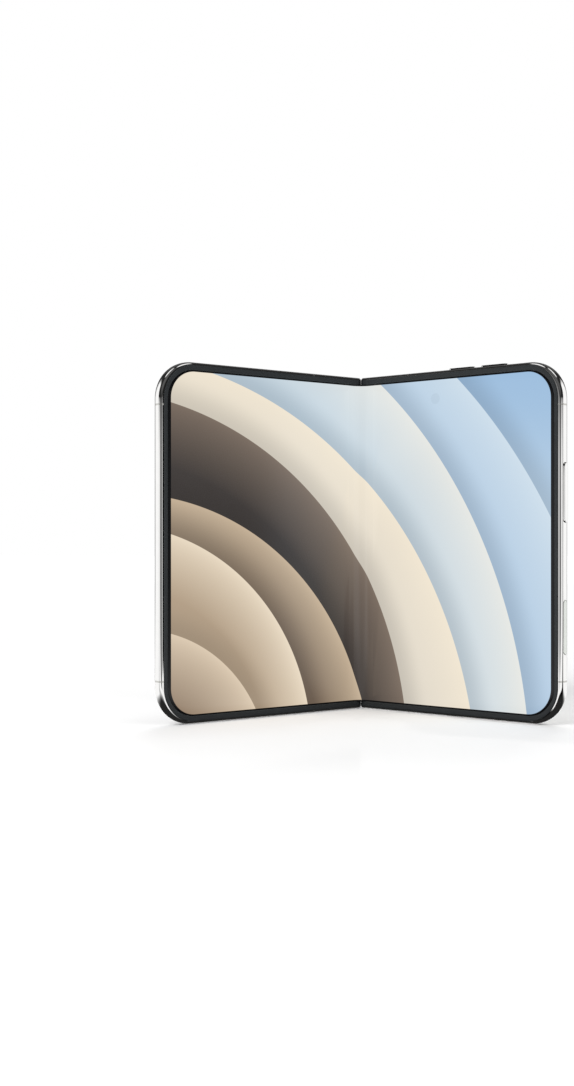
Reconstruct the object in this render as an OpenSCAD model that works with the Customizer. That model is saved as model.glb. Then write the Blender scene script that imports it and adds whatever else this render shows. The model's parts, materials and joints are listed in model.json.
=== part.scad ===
// Foldable phone that opens like a book, standing part open on its bottom edges.
// Each half is drawn flat, with t out from the fold, y back from the inner face and z up,
// and is then turned about its own hinge pin to the resting angle.

/* [Body] */
// Width of each half, from the middle of the fold to its outer edge
half_w = 85.3; // [78:0.1:90]
// Height of the phone
body_h = 120.6; // [112:0.1:130]
// Thickness of each half
half_t = 4.8; // [4.5:0.05:5.4]
// Radius of the outer corners, seen from the front
corner_r = 12.9; // [10:0.1:16]
// Radius of the small corners beside the fold
fold_corner_r = 1.2; // [0.6:0.1:2]
// Angle that each half is turned from flat at rest
rest_tilt = 39; // [20:1:60]
// Gap between the inner faces when shut
shut_gap = 0.3; // [0.2:0.05:0.6]

/* [Rail] */
// Depth of the rail from its outer face to its inner wall
rail_w = 2; // [1.7:0.1:3]
// Radius of the rail's rounded edges
rail_edge_r = 1.3; // [0.8:0.1:1.6]
// Width of the bright lip outside the bezel and the glass
lip_w = 0.8; // [0.6:0.05:1]
// How far the rail stays behind the bezel's front face
rail_front = 0.3; // [0.2:0.05:0.4]
// How far the rail stays under the glass's outer face
rail_back = 0.1; // [0.05:0.05:0.3]
// Width of each antenna break
break_w = 1.2; // [0.8:0.1:2]
// Depth of each antenna break
break_depth = 0.9; // [0.4:0.1:1.2]
// Distance of the side breaks from the top and bottom edges
break_side_inset = 14.8; // [14:0.1:20]
// Distance of the top and bottom breaks from the fold
break_fold_inset = 22; // [14:0.5:30]

/* [Inner display] */
// Width of the raised bezel
bezel_w = 2; // [1.6:0.05:3]
// Thickness of the bezel
bezel_t = 0.65; // [0.5:0.05:0.7]
// How far the bezel stands above the display
bezel_proud = 0.2; // [0.1:0.05:0.3]
// Thickness of the flexible display
display_t = 0.45; // [0.3:0.05:0.5]
// Thickness of the plate behind the display
support_t = 0.2; // [0.1:0.05:0.3]
// Radius that the display bends to at rest
fold_bend_r = 5; // [4:0.1:6]
// Distance from the fold at which the stiff part of the display starts
fold_strip_w = 6.5; // [6:0.1:8]
// Thickness of the slotted steel sheet behind the fold
fold_sheet_t = 0.15; // [0.1:0.05:0.2]
// Thickness of the chassis plate
midplate_t = 0.5; // [0.4:0.05:0.7]

/* [Hinge] */
// Thickness of the rail's skin over the spine
skin_t = 0.5; // [0.4:0.05:0.6]
// Depth of the hinge pins behind the inner face
pin_depth = 2.05; // [1.9:0.05:2.2]
// Radius of the hinge pins
pin_r = 0.45; // [0.35:0.05:0.5]
// Wall of the spine cover
spine_wall = 0.45; // [0.35:0.05:0.5]
// Distance from the phone's ends to the spine's ends
spine_inset = 3; // [3:0.1:5]
// Thickness of the spine's end caps
spine_cap_t = 1.2; // [0.8:0.1:2]
// Outer radius of the knuckles of the hinge arms
knuckle_r = 1.15; // [0.9:0.05:1.15]
// Length of each knuckle
knuckle_len = 4; // [3:0.1:6]
// Width of each hinge arm's foot
foot_len = 8; // [6.5:0.1:10]
// Distance that each foot reaches from the fold
foot_reach = 8.8; // [8:0.1:10]
// Thickness of each hinge arm
arm_t = 0.9; // [0.7:0.05:0.9]
// Distance from the phone's ends to the middle of the knuckles
hinge_inset = 20; // [18:0.5:26]
// Teeth on each timing gear
gear_teeth = 12; // [12:2:16]
// Length of each timing gear
gear_len = 2.8; // [2:0.1:4]
// Thickness of each wall of the hinge carriers
carrier_wall = 1.5; // [1:0.1:2]
// Thickness of the floor of the hinge carriers
carrier_floor = 0.4; // [0.3:0.05:0.4]
// Friction discs on each pin
disc_count = 5; // [3:1:6]
// Thickness of each friction disc
disc_t = 0.6; // [0.4:0.05:0.8]
// Radius of the friction discs
disc_r = 1.1; // [0.8:0.05:1.15]
// Radius of the small screws' threads
screw_r = 0.4; // [0.3:0.05:0.45]
// Radius of the small screws' heads
screw_head_r = 0.75; // [0.6:0.05:0.8]
// Height of the small screws' heads
screw_head_h = 0.4; // [0.3:0.05:0.45]
// Depth to which the hinge arms' screws reach into the rail
arm_screw_len = 1.4; // [1:0.05:1.6]
// Distance from each end of an arm's foot to the middle of its screw
arm_screw_inset = 1.6; // [1.2:0.1:2.4]

/* [Glass] */
// Thickness of the outer glass of both halves
glass_t = 0.6; // [0.5:0.05:0.7]
// Thickness of the cover display
cover_display_t = 0.45; // [0.3:0.05:0.5]
// Black border of the cover display inside the edge of its glass
cover_border = 1.6; // [1:0.1:3]
// Length of the earpiece slot in the cover glass
ear_slot_len = 8; // [6:0.1:10]
// Width of the earpiece slot
ear_slot_w = 0.6; // [0.4:0.05:0.7]
// Distance from the bright lip to the middle of the earpiece slot
ear_slot_drop = 1.8; // [1.5:0.1:2.2]
// Width of the earpiece
earpiece_w = 12; // [11:0.1:14]
// Height of the earpiece
earpiece_h = 6; // [5:0.1:7]

/* [Cameras] */
// Length of the raised camera plateau
plateau_len = 71.9; // [64:0.1:72]
// Width of the plateau
plateau_w = 22.3; // [20:0.1:24]
// Height of the plateau above the glass
plateau_h = 1.5; // [1:0.05:2]
// Radius of the plateau's shoulders
plateau_edge_r = 1.1; // [0.6:0.05:1.4]
// Distance from the outer edge to the near end of the plateau
plateau_inset = 6.7; // [6:0.1:9]
// Distance from the top edge to the middle of the plateau
plateau_drop = 14.6; // [14:0.1:18]
// Outer radius of the camera rings
ring_r = 8.6; // [7.5:0.05:9]
// Wall of the camera rings
ring_wall = 1.35; // [0.8:0.05:1.6]
// Height of the camera rings above the plateau
ring_h = 2.3; // [1.2:0.05:2.6]
// Distance from the outer edge to the middle of the first camera
camera_inset = 17.2; // [17:0.1:19]
// Distance between the two cameras
camera_pitch = 18.8; // [18.2:0.1:20]
// Thickness of the lens covers
lens_t = 0.6; // [0.4:0.05:0.8]
// Radius of the lens barrels
barrel_r = 5; // [4:0.1:6]
// Side of each camera module's square base
module_w = 12; // [11:0.1:13]
// Radius of the first lens inside each barrel
first_lens_r = 3; // [2.4:0.1:3.6]
// Depth of the first lens below the end of its barrel
first_lens_depth = 1; // [0.6:0.1:1.4]
// Distance from the fold to the flash and the microphone
flash_t = 31; // [28:0.1:33]
// Radius of the flash window
flash_r = 2.6; // [2:0.1:3]
// Distance from the plateau's middle down to the flash
flash_drop = 5.2; // [4.6:0.1:6]
// Radius of the rear microphone
mic_r = 0.5; // [0.4:0.05:0.7]
// Distance from the plateau's middle up to the microphone
mic_rise = 4.1; // [3.8:0.1:5]
// Distance from the fold to the camera under the display
hidden_camera_t = 34.3; // [32:0.1:36]
// Distance from the top edge to the camera under the display
hidden_camera_drop = 9.8; // [8:0.1:12]
// Radius of the camera under the display
hidden_camera_r = 2.2; // [1.5:0.1:2.4]
// Radius of the camera behind the cover glass
cover_camera_r = 2; // [1.5:0.1:2.5]
// Distance of the cover camera from the fold
cover_camera_t = 14; // [12:0.1:18]
// Distance of the cover camera from the top edge
cover_camera_drop = 10; // [8:0.1:12]
// Side of the small cameras' square bases
small_module_w = 6; // [5.4:0.1:6.4]
// Height of the small cameras' square bases
small_module_h = 1.7; // [1.2:0.05:2]

/* [Buttons] */
// Thickness of the raised buttons, across the rail
button_t = 2.1; // [1.6:0.05:2.4]
// Height of the raised buttons above the rail
button_proud = 0.45; // [0.3:0.05:0.8]
// Travel of the raised buttons
button_travel = 0.3; // [0.2:0.05:0.4]
// Length of the side button
side_button_len = 19.5; // [15:0.1:22]
// Height of the side button's middle above the phone's middle
side_button_z = 16.6; // [15:0.1:18]
// Length of each volume button
volume_len = 10.4; // [8:0.1:11]
// Distance from the fold to the nearer volume button's middle
volume_t = 44.2; // [43:0.1:46]
// Distance between the volume buttons' middles
volume_pitch = 13.4; // [12.8:0.1:14]
// Length of the camera control
control_len = 17.9; // [14:0.1:20]
// Distance of the camera control's middle below the phone's middle
control_z = 27.7; // [25:0.1:30]
// Height of the camera control above the rail
control_proud = 0.05; // [0:0.01:0.1]
// Travel of the camera control
control_travel = 0.15; // [0.1:0.01:0.2]
// Thickness of the flange that keeps a button in its slot
flange_t = 0.5; // [0.4:0.05:0.7]
// How far the flange reaches past the slot
flange_over = 0.4; // [0.3:0.05:0.6]
// Running gap round each button
button_gap = 0.08; // [0.05:0.01:0.12]
// Thickness of the switches behind the buttons
switch_t = 0.7; // [0.5:0.05:1]

/* [Ports] */
// Width of the charging port's opening
port_w = 8.4; // [8.3:0.05:8.6]
// Height of the charging port's opening
port_h = 2.6; // [2.5:0.05:2.7]
// Wall of the charging port's shell
port_wall = 0.15; // [0.1:0.01:0.2]
// Depth of the charging port
port_depth = 7; // [6.5:0.1:8]
// Thickness of the charging port's back wall
port_back = 1; // [0.6:0.1:1.5]
// Distance from the fold to the middle of the port
port_t = 42; // [38:0.1:46]
// Radius of the sound holes
hole_r = 0.6; // [0.4:0.05:0.7]
// Distance between the sound holes
hole_pitch = 2; // [1.6:0.1:2.4]
// Sound holes in each row
hole_count = 6; // [3:1:7]
// Distance from the fold to the first sound hole
holes_t = 58; // [57:0.1:62]
// Distance from the port to the screws beside it
port_screw_gap = 3; // [2.4:0.1:4]
// Length of the port's screws
port_screw_len = 4.7; // [3:0.1:6]
// Width of the charging port's tongue
tongue_w = 6.7; // [6:0.05:7]
// Thickness of the charging port's tongue
tongue_t = 0.7; // [0.6:0.05:0.8]
// Depth of the tongue's end behind the port's mouth
tongue_depth = 1; // [0.8:0.05:1.2]

/* [Inside] */
// Width of the camera half's battery
battery_w = 30; // [27:0.5:33]
// Height of the camera half's battery
battery_h = 80; // [70:0.5:82]
// Width of the cover half's battery
cover_battery_w = 62; // [57:0.5:68]
// Height of the cover half's battery
cover_battery_h = 72; // [64:0.5:77]
// Thickness of both batteries
battery_t = 2.1; // [1.8:0.05:2.3]
// Distance from the fold to the batteries
battery_t0 = 10.5; // [10:0.1:12]
// Height of both batteries' lower edges above the base
battery_z0 = 11; // [10:0.1:14]
// How much higher the cover half's battery sits
cover_battery_rise = 8; // [6:0.1:9]
// Rounding of the batteries' corners
battery_r = 2; // [1:0.1:4]
// Gap between a battery and the board beside it
board_gap = 1; // [0.8:0.1:1.5]
// Width of the cover half's board
cover_board_w = 52; // [46:0.5:56]
// Height of the cover half's board
cover_board_h = 11; // [9:0.1:14]
// Width of the main board
board_w = 32; // [28:0.5:34]
// Height of the main board
board_h = 48; // [40:0.5:50]
// Thickness of the circuit boards
board_t = 0.6; // [0.4:0.05:0.8]
// Height of the shields on the main board
shield_h = 1.2; // [0.8:0.05:1.4]
// Shields on the main board
shield_count = 3; // [2:1:4]
// Margin of bare board round the shields
shield_margin = 1.5; // [1.2:0.1:2.5]
// Bare board for connectors below the shields
connector_h = 3.5; // [3:0.1:5]
// Radius of the posts that the main board stands on
board_post_r = 1; // [0.8:0.05:1.2]
// Rounding of the boards', shields' and modules' corners
inner_r = 0.8; // [0.5:0.05:1]
// Outer radius of the charging coil
coil_r = 23; // [18:0.5:25]
// Width of the charging coil's winding
coil_w = 10; // [6:0.5:12]
// Thickness of the charging coil
coil_t = 0.3; // [0.2:0.05:0.35]
// Distance of the coil's middle below the phone's middle
coil_drop = 3; // [0:0.5:5]
// Length of each closing magnet
magnet_len = 16; // [10:0.5:18]
// Side of each closing magnet
magnet_w = 2; // [1.5:0.1:2.2]
// Width of each loudspeaker
speaker_w = 17; // [14:0.5:18]
// Height of each loudspeaker
speaker_h = 11; // [8:0.5:12]
// Thickness of the loudspeakers and the vibration motor
speaker_t = 2.2; // [1.8:0.05:2.4]
// Width of the vibration motor
motor_w = 18; // [15:0.5:20]
// Height of the vibration motor
motor_h = 7.9; // [6:0.1:8.5]
// Thickness of the flat cable through the hinge
flex_t = 0.14; // [0.1:0.01:0.2]
// Width of the flat cable through the hinge
flex_w = 9; // [6:0.5:12]
// Radius that the flat cable bends to at rest
flex_bend_r = 4; // [3.6:0.1:4.4]

/* [Hidden] */
$fn = 48;
// Named gaps
part_gap = 0.05;      // between pieces that are glued or seated
run_gap = 0.1;        // between the spine and the halves that turn round it
sunk_gap = 0.1;       // from a face down to a small piece that lies sunk in it
lens_gap = 0.25;      // from the rings' edges down to the lens covers
pin_gap = 0.03;       // between a turning pin and its bore
press_gap = 0.01;     // between a fixed pin and its bore
eps = 0.01;           // overshoot of a cut past a face
past = 1;             // how far a cutter runs out past the piece that it cuts

// Fold geometry
pin_x = pin_depth + shut_gap / 2;
edge_t = shut_gap / 2;                          // the halves' edges beside the fold
nose_r = pin_x - run_gap;                       // rounded front edge beside the fold
glass_y = half_t - glass_t;                     // seat of the outer glass
rail_y1 = half_t - rail_back;
skin_y = rail_y1 - skin_t;                      // inner face of the skin over the spine
spine_r = skin_y - pin_depth - run_gap;
bay_t = pin_x + spine_r + 2 * run_gap;          // side of the space that the spine lies in
bay_wall = 0.8;                                 // wall beside that space
bay_z = spine_inset - run_gap;
spine_rise = 0.15;                              // how far its walls pass the pins' axes
spine_front = pin_depth - spine_rise;           // front edge of the spine's walls
inner_t = bay_t + bay_wall + part_gap;          // where plates and glass start beside the bay

// Layers from the inner face back
seat_y = bezel_t;
display_y = bezel_proud;
support_y = display_y + display_t;
midplate_y = support_y + support_t;
inside_y = midplate_y + midplate_t + part_gap;
display_back_y = glass_y - cover_display_t;     // inner face of the cover display
mid_y = (rail_front + rail_y1) / 2;
panel_inset = lip_w + bezel_w + part_gap;       // outer edge of the display panel
wall_t = half_w - rail_w;                       // inner face of the side rail

// Where the whole phone sits, so that its box is centred over the origin
front_reach = pin_depth - (half_w - lip_w - pin_x) * sin(rest_tilt) - pin_depth * cos(rest_tilt);
back_reach = pin_depth + (pin_x - edge_t) * sin(rest_tilt) + (rail_y1 - pin_depth) * cos(rest_tilt);
origin_y = (front_reach + back_reach) / 2;

// Hinge modules, counted along z from the middle of the knuckle
hinge_z = [hinge_inset, body_h - hinge_inset];
side_gap = 0.2;                                 // between a moving piece and a carrier wall
wall_a = knuckle_len / 2 + side_gap;            // inner carrier walls either side of the knuckle
gear_a = wall_a + carrier_wall + side_gap;
wall_b = gear_a + gear_len + side_gap;
disc_a = wall_a + carrier_wall;
wall_c = disc_a + disc_count * disc_t;
carrier_lo = -wall_c - carrier_wall;
carrier_hi = wall_b + carrier_wall;
gear_pitch_r = 2 * pin_x / 6;
gear_module = 2 * gear_pitch_r / gear_teeth;
half_pitch = 180 / gear_teeth;                  // half the angle from tooth to tooth
idler_pin_r = 0.27;
carrier_front = 1;
foot_y = pin_depth - knuckle_r;                 // front face of the hinge arms
foot_back = foot_y + arm_t;
pad_back = display_back_y - part_gap;           // pads end short of the cover display
spine_in_r = spine_r - spine_wall;              // inside of the spine cover
cap_screw_len = 0.3;                            // thread of the carrier screws in the cover

// Camera half
plateau_z = body_h - plateau_drop;
plateau_y = half_t + plateau_h;
plateau_t = half_w - plateau_inset - plateau_len / 2;
plateau_extra = 0.3;                            // its side wall is this much thicker
plateau_wall = glass_t + plateau_extra;         // than the glass
hollow_edge_r = 0.4;                            // rounding inside its shoulders
camera_t = [half_w - camera_inset, half_w - camera_inset - camera_pitch];
ring_foot = 0.4;                                // how far the rings reach in behind the glass
ring_step = 0.6;                                // width of the ledge that a lens cover lies on
ring_y0 = plateau_y - glass_t - ring_foot;
ring_y1 = plateau_y + ring_h;
lens_y1 = ring_y1 - lens_gap;
ring_gap = 0.04;
module_y1 = glass_y - part_gap;                 // back of the camera modules' bases
board_t0 = wall_t - magnet_w - board_gap - board_w;
board_z0 = plateau_z - module_w / 2 - 2 * board_gap - board_h;
coil_t0 = (inner_t + wall_t) / 2;
coil_z = body_h / 2 - coil_drop;
coil_y = glass_y - coil_t - part_gap;
board_y = coil_y - 2 * part_gap - shield_h - board_t;
shield_z0 = board_z0 + shield_margin + connector_h;
shield_pitch = (board_h - connector_h - shield_margin) / shield_count;
cover_battery_z0 = battery_z0 + cover_battery_rise;
ear_t = (inner_t + half_w) / 2;                 // middle of the earpiece
speaker_t0 = holes_t + ((hole_count - 1) * hole_pitch - speaker_w) / 2;
speaker_y1 = inside_y + speaker_t;

// Buttons on the side rail, and the straight wall between and above them for the magnets
side_button_mid = body_h / 2 + side_button_z;
control_mid = body_h / 2 - control_z;
control_top = control_mid + control_len / 2 + flange_over;
side_button_foot = side_button_mid - side_button_len / 2 - flange_over;
side_button_top = side_button_mid + side_button_len / 2 + flange_over;
magnet_mid = [(control_top + side_button_foot) / 2, (side_button_top + body_h - corner_r) / 2];

flange_room = part_gap + flange_t + button_travel + part_gap;

// Every node, in the order in which it would come apart

// ---- placing -------------------------------------------------------------

// The hinge's own frame
module hinge_frame() translate([0, -origin_y, 0]) children();

// A half drawn flat, turned to rest about its pin: side 1 is the camera half, -1 the cover half
module half(side)
  hinge_frame()
    translate([side * pin_x, pin_depth, 0])
      rotate([0, 0, -side * rest_tilt])
        translate([-side * pin_x, -pin_depth, 0])
          mirror([side < 0 ? 1 : 0, 0, 0]) children();

// Extrudes an outline drawn in t and z through the thickness from y0 to y1
module slab(y0, y1)
  translate([0, y1, 0]) rotate([90, 0, 0]) linear_extrude(y1 - y0) children();

module box(t0, t1, y0, y1, z0, z1) translate([t0, y0, z0]) cube([t1 - t0, y1 - y0, z1 - z0]);

module disc(t, z, r, y0, y1)
  translate([t, y1, z]) rotate([90, 0, 0]) cylinder(r = r, h = y1 - y0);

module post(x, y, r, z0, z1) translate([x, y, z0]) cylinder(r = r, h = z1 - z0);

// The two ends of the phone: the children are drawn at the bottom and mirrored to the top
module both_ends()
  for (m = [0, 1]) translate([0, 0, m * body_h]) mirror([0, 0, m]) children();

// ---- outlines ------------------------------------------------------------

module round_rect(t0, t1, z0, z1, r) {
  translate([t0 + r, z0]) square([t1 - t0 - 2 * r, z1 - z0]);
  translate([t0, z0 + r]) square([t1 - t0, z1 - z0 - 2 * r]);
  for (t = [t0 + r, t1 - r], z = [z0 + r, z1 - r]) translate([t, z]) circle(r);
}

// A half's outline, inset from its outer edge and square beside the fold
module outline(inset, t0) {
  r = corner_r - inset;
  translate([t0, inset]) square([half_w - inset - r - t0, body_h - 2 * inset]);
  translate([t0, inset + r]) square([half_w - inset - t0, body_h - 2 * (inset + r)]);
  for (z = [inset + r, body_h - inset - r]) translate([half_w - inset - r, z]) circle(r);
}

module stadium(len, w) {
  square([len - w, w], center = true);
  for (s = [-1, 1]) translate([s * (len - w) / 2, 0]) circle(d = w);
}

// ---- rail ----------------------------------------------------------------

// Section of the rail: x outwards from the inner wall, y through the thickness
module rail_section() {
  difference() {
    union() {
      translate([0, rail_front]) square([rail_w - rail_edge_r, rail_y1 - rail_front]);
      translate([0, rail_front + rail_edge_r])
        square([rail_w, rail_y1 - rail_front - 2 * rail_edge_r]);
      for (y = [rail_front + rail_edge_r, rail_y1 - rail_edge_r])
        translate([rail_w - rail_edge_r, y]) circle(rail_edge_r);
    }
    translate([-rail_w, -half_t]) square([rail_w, 3 * half_t]);
    translate([-rail_w, -half_t]) square([2 * rail_w - lip_w, half_t + seat_y]);
    translate([-rail_w, glass_y]) square([2 * rail_w - lip_w, half_t]);
  }
}

module rail_ring() {
  translate([wall_t, 0, corner_r]) linear_extrude(body_h - 2 * corner_r) rail_section();
  both_ends() {
    translate([edge_t, 0, rail_w]) rotate([0, 90, 0])
      linear_extrude(half_w - corner_r - edge_t) rail_section();
    translate([half_w - corner_r, 0, corner_r]) rotate([-90, 0, 0])
      rotate_extrude(angle = 90) translate([corner_r - rail_w, 0]) rail_section();
  }
}

// Material in front of the pin that would meet the other half as the phone shuts
module nose_cut()
  difference() {
    box(-past, pin_x, -past, pin_depth, -past, body_h + past);
    post(pin_x, pin_depth, nose_r, -2 * past, body_h + 2 * past);
  }

// Rounds the corners beside the fold
module fold_corner_cut()
  both_ends() difference() {
    box(edge_t - past, edge_t + fold_corner_r, -past, half_t + past, -past, fold_corner_r);
    disc(edge_t + fold_corner_r, fold_corner_r, fold_corner_r, -2 * past, half_t + 2 * past);
  }

module break_slots(depth) {
  both_ends() {
    box(half_w - depth, half_w + past, -past, half_t + past,
        break_side_inset - break_w / 2, break_side_inset + break_w / 2);
    box(break_fold_inset - break_w / 2, break_fold_inset + break_w / 2,
        -past, half_t + past, -past, depth);
  }
}

module half_rail() {
  difference() {
    union() {
      rail_ring();
      // solid blocks that close the fold above and below the spine
      both_ends() box(edge_t, bay_t + bay_wall, seat_y, glass_y, lip_w, bay_z);
      // skin over the spine, and the wall of the space that it lies in
      box(edge_t, bay_t + bay_wall, skin_y, rail_y1, lip_w, body_h - lip_w);
      box(bay_t, bay_t + bay_wall, foot_back, glass_y, bay_z - eps, body_h - bay_z + eps);
      // pads under the feet of the hinge arms
      for (z = hinge_z)
        box(bay_t, foot_reach, foot_back, pad_back, z - foot_len / 2, z + foot_len / 2);
    }
    // space for the spine
    box(-past, bay_t, -past, skin_y, bay_z, body_h - bay_z);
    nose_cut();
    fold_corner_cut();
    break_slots(break_depth);
    for (z = hinge_z) foot_screw_places(z)
      rotate([-90, 0, 0]) cylinder(r = screw_r + press_gap, h = arm_screw_len + 2 * eps);
  }
}

// Each foot's screws stand midway between the wall of the spine's space and the foot's end
module foot_screw_places(z)
  for (s = [-1, 1])
    translate([(bay_t + bay_wall + foot_reach) / 2, foot_back - eps,
               z + s * (foot_len / 2 - arm_screw_inset)])
      children();

module half_breaks()
  intersection() {
    rail_ring();
    break_slots(break_depth - press_gap);
  }

// ---- plates, bezel and display of a half ----------------------------------

module half_midplate()
  difference() {
    slab(midplate_y, midplate_y + midplate_t) outline(rail_w + part_gap, inner_t);
    for (z = hinge_z)
      box(0, foot_reach + part_gap, 0, half_t,
          z - foot_len / 2 - part_gap, z + foot_len / 2 + part_gap);
  }

module half_bezel()
  difference() {
    slab(0, bezel_t) difference() {
      outline(lip_w + part_gap, edge_t);
      outline(lip_w + bezel_w, -past);
    }
    nose_cut();
    fold_corner_cut();
  }

module half_display()
  slab(display_y, display_y + display_t) outline(panel_inset, fold_strip_w);

module half_support_plate()
  difference() {
    slab(support_y, support_y + support_t) outline(panel_inset, fold_strip_w);
    for (z = hinge_z)
      box(0, foot_reach + part_gap, 0, half_t,
          z - foot_len / 2 - part_gap, z + foot_len / 2 + part_gap);
  }

// ---- hinge arms, pins and screws of a half ---------------------------------

module half_arms()
  for (z = hinge_z) difference() {
    union() {
      post(pin_x, pin_depth, knuckle_r, z - knuckle_len / 2, z + knuckle_len / 2);
      box(pin_x, bay_t, foot_y, foot_back, z - knuckle_len / 2, z + knuckle_len / 2);
      box(bay_t, foot_reach, foot_y, foot_back, z - foot_len / 2, z + foot_len / 2);
    }
    post(pin_x, pin_depth, pin_r + press_gap, z - knuckle_len, z + knuckle_len);
    foot_screw_places(z) translate([0, -arm_t, 0]) rotate([-90, 0, 0]) {
      cylinder(r = screw_r + part_gap, h = 2 * arm_t);
      translate([0, 0, -eps]) cylinder(r = screw_head_r + part_gap, h = screw_head_h + 2 * eps);
    }
  }

module half_arm_screws()
  for (z = hinge_z) foot_screw_places(z) translate([0, eps - arm_t, 0]) rotate([-90, 0, 0]) {
    cylinder(r = screw_r, h = arm_t + arm_screw_len - eps);
    cylinder(r = screw_head_r, h = screw_head_h);
  }

// One tooth is a trapezium from the root to the tip; its height is in gear modules and its
// widths are shares of the pitch
dedendum = 1.2;
addendum = 0.85;
root_share = 0.54;
tip_share = 0.26;
function tooth(k, phase) =
  let (root = gear_pitch_r - dedendum * gear_module, tip = gear_pitch_r + addendum * gear_module,
       a = phase + k * 360 / gear_teeth,
       root_half = root_share * half_pitch, tip_half = tip_share * half_pitch)
  [for (p = [[root, -root_half], [tip, -tip_half], [tip, tip_half], [root, root_half]])
    [p[0] * cos(a + p[1]), p[0] * sin(a + p[1])]];

module gear(phase, z0, z1)
  translate([0, 0, z0]) linear_extrude(z1 - z0)
    polygon([for (k = [0 : gear_teeth - 1]) each tooth(k, phase)]);

// A pin with its timing gear cut on it, held fast in the knuckle
module hinge_pins(side, phase)
  hinge_frame() for (m = [0, 1]) translate([side * pin_x, pin_depth, hinge_z[m]])
    mirror([0, 0, m]) {
      cylinder(r = pin_r, h = carrier_hi - eps);
      mirror([0, 0, 1]) cylinder(r = pin_r, h = -carrier_lo - eps);
      gear(phase, gear_a, gear_a + gear_len);
    }

module idler_gears(side, phase)
  hinge_frame() for (m = [0, 1]) translate([side * gear_pitch_r, pin_depth, hinge_z[m]])
    mirror([0, 0, m]) difference() {
      gear(phase, gear_a, gear_a + gear_len);
      translate([0, 0, gear_a - eps]) cylinder(r = idler_pin_r + pin_gap, h = gear_len + 2 * eps);
    }

// ---- spine -----------------------------------------------------------------

// Section of the spine: two round ends on the pins' axes, open in front
module spine_section(r, front) {
  difference() {
    union() {
      for (s = [-1, 1]) translate([s * pin_x, pin_depth]) circle(r);
      translate([-pin_x, pin_depth - r]) square([2 * pin_x, 2 * r]);
    }
    translate([-half_w, front - half_t]) square([2 * half_w, half_t]);
  }
}

module spine_cover()
  color("silver") hinge_frame() difference() {
    translate([0, 0, spine_inset + spine_cap_t])
      linear_extrude(body_h - 2 * (spine_inset + spine_cap_t)) difference() {
        spine_section(spine_r, spine_front);
        spine_section(spine_in_r, -half_t);
      }
    for (z = hinge_z) carrier_screw_places(z)
      rotate([90, 0, 0]) cylinder(r = screw_r + press_gap, h = cap_screw_len + eps);
  }

module spine_end_caps()
  color("silver") hinge_frame() both_ends()
    translate([0, 0, spine_inset]) linear_extrude(spine_cap_t)
      spine_section(spine_r, spine_front);

module carrier_screw_places(z)
  for (s = [-1, 1])
    translate([0, pin_depth + spine_in_r + cap_screw_len, z + s * knuckle_len / 4]) children();

module carrier_wall_at(z)
  translate([0, 0, z]) linear_extrude(carrier_wall) difference() {
    spine_section(spine_in_r - press_gap, carrier_front);
    for (s = [-1, 1]) translate([s * pin_x, pin_depth]) circle(pin_r + pin_gap);
  }

module hinge_carriers()
  color("dimgray") hinge_frame() for (m = [0, 1])
    translate([0, 0, hinge_z[m]]) mirror([0, 0, m]) {
      difference() {
        union() {
          translate([0, 0, carrier_lo]) linear_extrude(carrier_hi - carrier_lo)
            spine_section(spine_in_r - press_gap, pin_depth + spine_in_r - carrier_floor);
          for (z = [carrier_lo, -wall_a - carrier_wall, wall_a, wall_b]) carrier_wall_at(z);
          for (s = [-1, 1])
            post(s * gear_pitch_r, pin_depth, idler_pin_r, wall_a, wall_b + carrier_wall);
        }
        carrier_screw_places(0) rotate([90, 0, 0])
          cylinder(r = screw_r + press_gap, h = cap_screw_len + 2 * carrier_floor);
      }
    }

module carrier_screws()
  color("gray") hinge_frame() for (z = hinge_z) carrier_screw_places(z)
    rotate([90, 0, 0]) {
      translate([0, 0, press_gap]) cylinder(r = screw_r, h = cap_screw_len + carrier_floor);
      translate([0, 0, cap_screw_len + carrier_floor + press_gap])
        cylinder(r = screw_head_r, h = screw_head_h - part_gap);
    }

module friction_discs()
  color("gold") hinge_frame() for (m = [0, 1])
    translate([0, 0, hinge_z[m]]) mirror([0, 0, m])
      for (s = [-1, 1], k = [0 : disc_count - 1])
        translate([s * pin_x, pin_depth, -disc_a - (k + 1) * disc_t]) difference() {
          cylinder(r = disc_r, h = disc_t - press_gap);
          translate([0, 0, -past]) cylinder(r = pin_r + pin_gap, h = disc_t + 2 * past);
        }

// A thin sheet that follows both halves and bends round an arc between them
module fold_sheet(y0, thick, bend_r, reach, z0, z1) {
  dy = y0 + thick / 2 - pin_depth;
  meet = (-pin_x - dy * sin(rest_tilt)) / cos(rest_tilt);
  meet_y = pin_depth - meet * sin(rest_tilt) + dy * cos(rest_tilt);
  hinge_frame() translate([0, meet_y - bend_r / cos(rest_tilt), 0])
    rotate([0, 0, 90 - rest_tilt]) rotate_extrude(angle = 2 * rest_tilt, $fn = 96)
      translate([bend_r - thick / 2, z0]) square([thick, z1 - z0]);
  for (s = [-1, 1]) half(s)
    box(pin_x + meet + bend_r * tan(rest_tilt) - eps, reach, y0, y0 + thick, z0, z1);
}

module display_fold()
  color("lightblue")
    fold_sheet(display_y, display_t, fold_bend_r, fold_strip_w - part_gap,
               panel_inset, body_h - panel_inset);

module fold_support_sheet()
  color("gray")
    fold_sheet(support_y + press_gap, fold_sheet_t,
               fold_bend_r + (display_t + fold_sheet_t) / 2 + press_gap,
               fold_strip_w - part_gap, bay_z + part_gap, body_h - bay_z - part_gap);

module hinge_flex()
  color("darkorange")
    fold_sheet(inside_y, flex_t, flex_bend_r, battery_t0 - board_gap,
               body_h / 2 - flex_w / 2, body_h / 2 + flex_w / 2);

module cover_side_idler_gears() color("khaki") idler_gears(-1, half_pitch);
module camera_side_idler_gears() color("khaki") idler_gears(1, 0);

// ---- cover half -------------------------------------------------------------

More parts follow.
